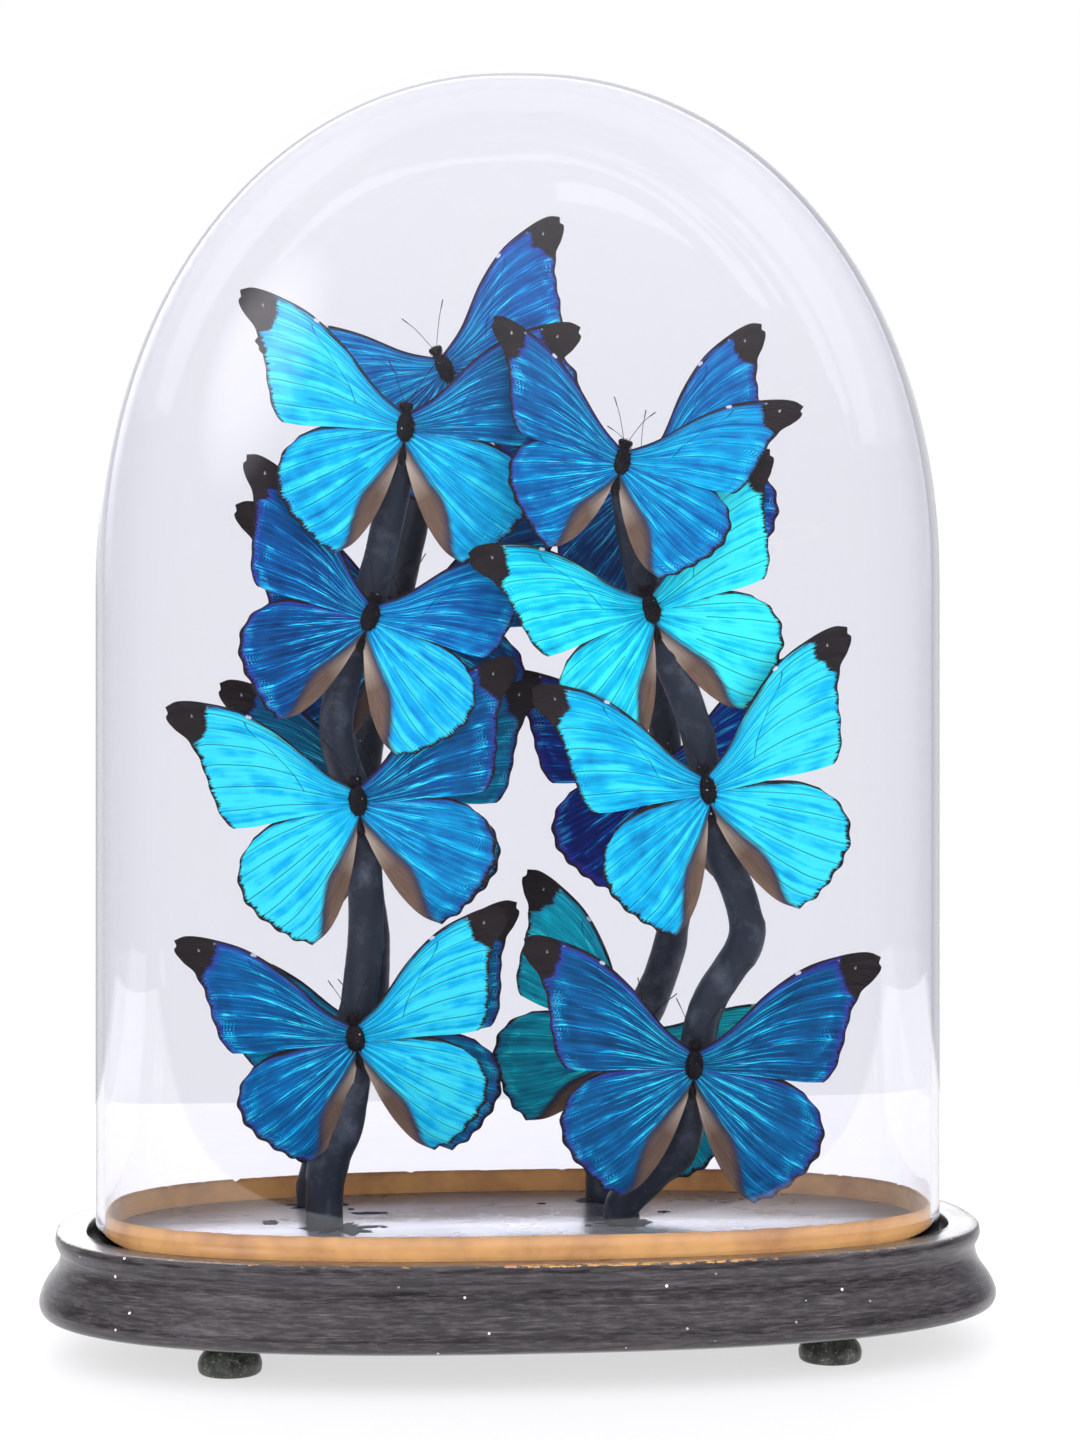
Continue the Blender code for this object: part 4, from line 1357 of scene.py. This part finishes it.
class DOME_OT_branches(bpy.types.Operator):
    """Model the painted branches"""

    bl_idname = "dome.branches"
    bl_label = "Branches"

    def execute(self, context):
        settings = context.scene.dome.branch
        paints = [painted_bark(settings), dried_pool(settings)]
        for k, name in enumerate(BRANCHES):
            foot_radius, tip_radius, _ = BRANCHES[name]
            points = along(branch_points(name, 14), 130)
            last = len(points) - 1
            radii = [foot_radius + (tip_radius - foot_radius) * i / last for i in range(last + 1)]
            bm = bmesh.new()
            verts = add_rod(bm, points, radii, 24)
            bmesh.ops.recalc_face_normals(bm, faces=bm.faces)
            bm.normal_update()
            for vert in verts:
                slow = noise.noise(vert.co * 0.035 + Vector((k, 0, 0)))
                knot = soft_step(0.18, 0.45, slow)
                ripple = noise.noise(vert.co * 0.22 + Vector((0, k, 0)))
                grown = settings.knot_height / MM * knot + 0.22 * ripple - 0.25
                vert.co += vert.normal * grown
                if vert.co.z < FLOOR_TOP + 2.5:
                    vert.co.z = max(vert.co.z, FLOOR_TOP + 0.05)
            foot = points[0]
            for aside, near, width, deep in PUDDLES[name]:
                self.add_puddle(bm, Vector((foot.x + aside, foot.y - near, 0.0)), width, deep)
            finish_piece(bm, f"painted_branch_{name}", paints, [f"branch_{name}"], 60)
        return {"FINISHED"}

    def add_puddle(self, bm, middle, width, deep):
        """Adds a low pool of black paint with a ragged edge, on the floor board."""
        made = bmesh.ops.create_circle(bm, segments=64, radius=1.0, cap_ends=True)
        cap = made_faces(made["verts"])
        for vert in made["verts"]:
            ragged = noise.noise(Vector((vert.co.x * 2.4, vert.co.y * 2.4, middle.x)))
            fine = noise.noise(Vector((vert.co.x * 7.0, vert.co.y * 7.0, middle.x)))
            reach = 1.0 + 0.65 * ragged + 0.40 * fine
            vert.co = middle + Vector(
                (vert.co.x * reach * width, vert.co.y * reach * deep, FLOOR_TOP + 0.02)
            )
        centre = middle + Vector((0.0, 0.0, FLOOR_TOP))
        for share, rise in ((0.96, 0.12), (0.86, 0.14)):
            cap = [
                item
                for item in bmesh.ops.extrude_face_region(bm, geom=cap)["geom"]
                if isinstance(item, bmesh.types.BMFace)
            ]
            for vert in cap[0].verts:
                vert.co.xy = centre.xy + (vert.co.xy - centre.xy) * share
                vert.co.z += rise
        for face in bm.faces:
            if all(vert.co.z < FLOOR_TOP + 0.4 for vert in face.verts):
                face.material_index = 1


class DOME_OT_butterflies(bpy.types.Operator):
    """Model the mounted butterflies"""

    bl_idname = "dome.butterflies"
    bl_label = "Butterflies"

    def execute(self, context):
        settings = context.scene.dome.butterfly
        materials = [wing_scales(settings), wing_underside(settings), insect_fur(settings)]
        forms = (WingForm(FOREWING), WingForm(HINDWING))
        for k, name in enumerate(BUTTERFLIES):
            make_butterfly(name, 10.0 * k, forms, materials, settings)
        return {"FINISHED"}


class DOME_OT_stage(bpy.types.Operator):
    """Set the pale table, the lights and the camera"""

    bl_idname = "dome.stage"
    bl_label = "Stage"

    def execute(self, context):
        settings = context.scene.dome.stage
        self.make_table(settings)
        self.make_world(context.scene)
        self.add_softbox("key", (-0.8, -1.6, 1.1), (1.3, 1.4), 14.0)
        self.add_softbox("fill", (1.0, -1.5, 0.8), (1.1, 1.3), 5.0)
        self.add_camera(context.scene, settings)
        context.scene.view_settings.view_transform = "Standard"
        return {"FINISHED"}

    def make_table(self, settings):
        bm = bmesh.new()
        # It ends a little way in front of the dome, so that the glass doesn't mirror it.
        bmesh.ops.create_grid(bm, x_segments=1, y_segments=1, size=1.0)
        bmesh.ops.scale(bm, vec=(1.6, 0.56, 1.0), verts=bm.verts)
        bmesh.ops.translate(bm, vec=(0.0, 0.14, 0.0), verts=bm.verts)
        mesh = bpy.data.meshes.new("table")
        bm.to_mesh(mesh)
        bm.free()
        table = bpy.data.objects.new("table", mesh)
        bpy.context.scene.collection.objects.link(table)
        # White acrylic lit from below, as on a product table, so that shadows on it stay pale.
        white, tree, shader = new_material(
            "White acrylic, lit from below", Roughness=0.6, Emission_Color=WHITE, Emission_Strength=0.63
        )
        place = add_node(tree, "TexCoord").outputs["Object"]
        cloud = add_node(tree, "TexNoise", {"Vector": place, "Scale": 3.0})
        colour = add_node(
            tree, "MixRGB", {"Fac": cloud, "Color1": settings.floor, "Color2": linear("#8a898c")}
        )
        connect(tree, shader, Base_Color=colour)
        mesh.materials.append(white)

    def make_world(self, scene):
        """A white tent round the dome, whose front is dark only as the gloss mirrors it."""
        world = bpy.data.worlds.new("studio")
        world.use_nodes = True
        scene.world = world
        tree = world.node_tree
        tree.nodes.clear()
        direction = add_node(tree, "TexCoord").outputs["Generated"]
        parts = add_node(tree, "SeparateXYZ", {"Vector": direction})
        lifted = add_node(tree, "Math", {0: parts.outputs["Z"], 1: 0.15}, operation="ADD")
        nearest = add_node(tree, "Math", {0: parts.outputs["Y"], 1: lifted}, operation="MAXIMUM")
        mirrored = add_node(
            tree,
            "ValToRGB",
            {"Fac": nearest},
            stops=(
                (0.0, (0.05, 0.05, 0.065, 1.0)),
                (0.35, (0.12, 0.12, 0.15, 1.0)),
                (0.75, (0.60, 0.60, 0.63, 1.0)),
                (0.95, (0.80, 0.80, 0.84, 1.0)),
            ),
        )
        # The light itself is stronger from the front, and a little so from the left.
        front = add_node(tree, "Math", {0: parts.outputs["Y"], 1: 0.0}, operation="MINIMUM")
        across = add_node(
            tree, "Math", {0: parts.outputs["X"], 1: -0.12, 2: 1.03}, operation="MULTIPLY_ADD"
        )
        level = add_node(tree, "Math", {0: front, 1: -2.0, 2: across}, operation="MULTIPLY_ADD")
        soft = add_node(tree, "VectorMath", {0: (1.0, 1.0, 1.02), "Scale": level}, operation="SCALE")
        # A soft window of light, high on the left, that gloss mirrors.
        facing = add_node(
            tree, "VectorMath", {0: direction, 1: (-0.62, -0.64, 0.45)}, operation="DOT_PRODUCT"
        )
        window = add_node(tree, "MapRange", {"Value": facing.outputs["Value"]}, span=(0.95, 0.99, 0.0, 1.6))
        gleam = add_node(tree, "VectorMath", {0: (1.0, 0.98, 1.06), "Scale": window}, operation="SCALE")
        gloss = add_node(tree, "VectorMath", {0: mirrored, 1: gleam}, operation="ADD")
        # A low lamp behind, that the floor board mirrors.
        behind = add_node(
            tree, "VectorMath", {0: direction, 1: (0.0, 0.965, 0.26)}, operation="DOT_PRODUCT"
        )
        lamp = add_node(tree, "MapRange", {"Value": behind.outputs["Value"]}, span=(0.92, 0.985, 0.0, 2.6))
        above = add_node(tree, "MapRange", {"Value": parts.outputs["Z"]}, span=(0.03, 0.12, 0.0, 1.0))
        lamp = add_node(tree, "Math", {0: lamp, 1: above}, operation="MULTIPLY")
        glow = add_node(tree, "VectorMath", {0: (1.0, 1.0, 1.03), "Scale": lamp}, operation="SCALE")
        gloss = add_node(tree, "VectorMath", {0: gloss, 1: glow}, operation="ADD")
        # What is seen straight or through the glass is white, and what gloss mirrors is the tent.
        path = add_node(tree, "LightPath")
        first = add_node(tree, "Math", {0: path.outputs["Diffuse Depth"], 1: 0.5}, operation="LESS_THAN")
        glossy = add_node(tree, "Math", {0: path.outputs["Glossy Depth"], 1: 0.5}, operation="GREATER_THAN")
        seen = add_node(
            tree,
            "Math",
            {0: path.outputs["Is Camera Ray"], 1: path.outputs["Is Transmission Ray"]},
            operation="MAXIMUM",
        )
        straight = add_node(tree, "Math", {0: seen, 1: first}, operation="MULTIPLY")
        reflected = add_node(tree, "Math", {0: glossy, 1: first}, operation="MULTIPLY")
        backdrop = add_node(tree, "MixRGB", {"Fac": straight, "Color1": soft, "Color2": WHITE})
        colour = add_node(tree, "MixRGB", {"Fac": reflected, "Color1": backdrop, "Color2": gloss})
        light = add_node(tree, "Background", {"Color": colour, "Strength": 1.0})
        output = add_node(tree, "OutputWorld", {"Surface": light})
        output.is_active_output = True

    def add_softbox(self, name, place, size, power):
        """A soft rectangular light that faces the dome, and that the glass neither mirrors nor shows."""
        data = bpy.data.lights.new(name, "AREA")
        data.shape = "RECTANGLE"
        data.size, data.size_y = size
        data.energy = power
        light = bpy.data.objects.new(name, data)
        light.location = place
        light.visible_glossy = False
        light.visible_transmission = False
        aim = Vector((0.0, 0.0, 0.22)) - Vector(place)
        light.rotation_euler = aim.to_track_quat("-Z", "Y").to_euler()
        bpy.context.scene.collection.objects.link(light)

    def add_camera(self, scene, settings):
        data = bpy.data.cameras.new("camera")
        camera = bpy.data.objects.new("camera", data)
        scene.collection.objects.link(camera)
        ahead = Vector((math.sin(settings.turn), math.cos(settings.turn), 0.0))
        camera.location = -ahead * settings.distance + Vector((0.0, 0.0, settings.height))
        camera.rotation_euler = (math.pi / 2, 0.0, -settings.turn)
        data.sensor_fit = "VERTICAL"
        data.sensor_height = SENSOR_HEIGHT
        data.lens = LENS
        data.shift_x, data.shift_y = (shift / FRAME_HEIGHT for shift in FRAME_SHIFT)
        data.clip_end = 20.0
        scene.camera = camera


class DOME_PT_panel(bpy.types.Panel):
    """Buttons that model each piece"""

    bl_label = "Butterflies under glass"
    bl_idname = "DOME_PT_panel"
    bl_space_type = "VIEW_3D"
    bl_region_type = "UI"
    bl_category = "Dome"

    def draw(self, _context):
        for operator in OPERATORS:
            self.layout.operator(operator.bl_idname)


OPERATORS = (
    DOME_OT_base,
    DOME_OT_floor,
    DOME_OT_branches,
    DOME_OT_butterflies,
    DOME_OT_glass,
    DOME_OT_stage,
)
CLASSES = (
    BaseSettings,
    FloorSettings,
    GlassSettings,
    BranchSettings,
    ButterflySettings,
    StageSettings,
    DomeSettings,
    *OPERATORS,
    DOME_PT_panel,
)


def register():
    for made in CLASSES:
        bpy.utils.register_class(made)
    bpy.types.Scene.dome = bpy.props.PointerProperty(type=DomeSettings)


def unregister():
    del bpy.types.Scene.dome
    for made in reversed(CLASSES):
        bpy.utils.unregister_class(made)


def main():
    register()
    for operator in OPERATORS:
        name = operator.bl_idname.split(".")[1]
        getattr(bpy.ops.dome, name)()


if __name__ == "__main__":
    main()
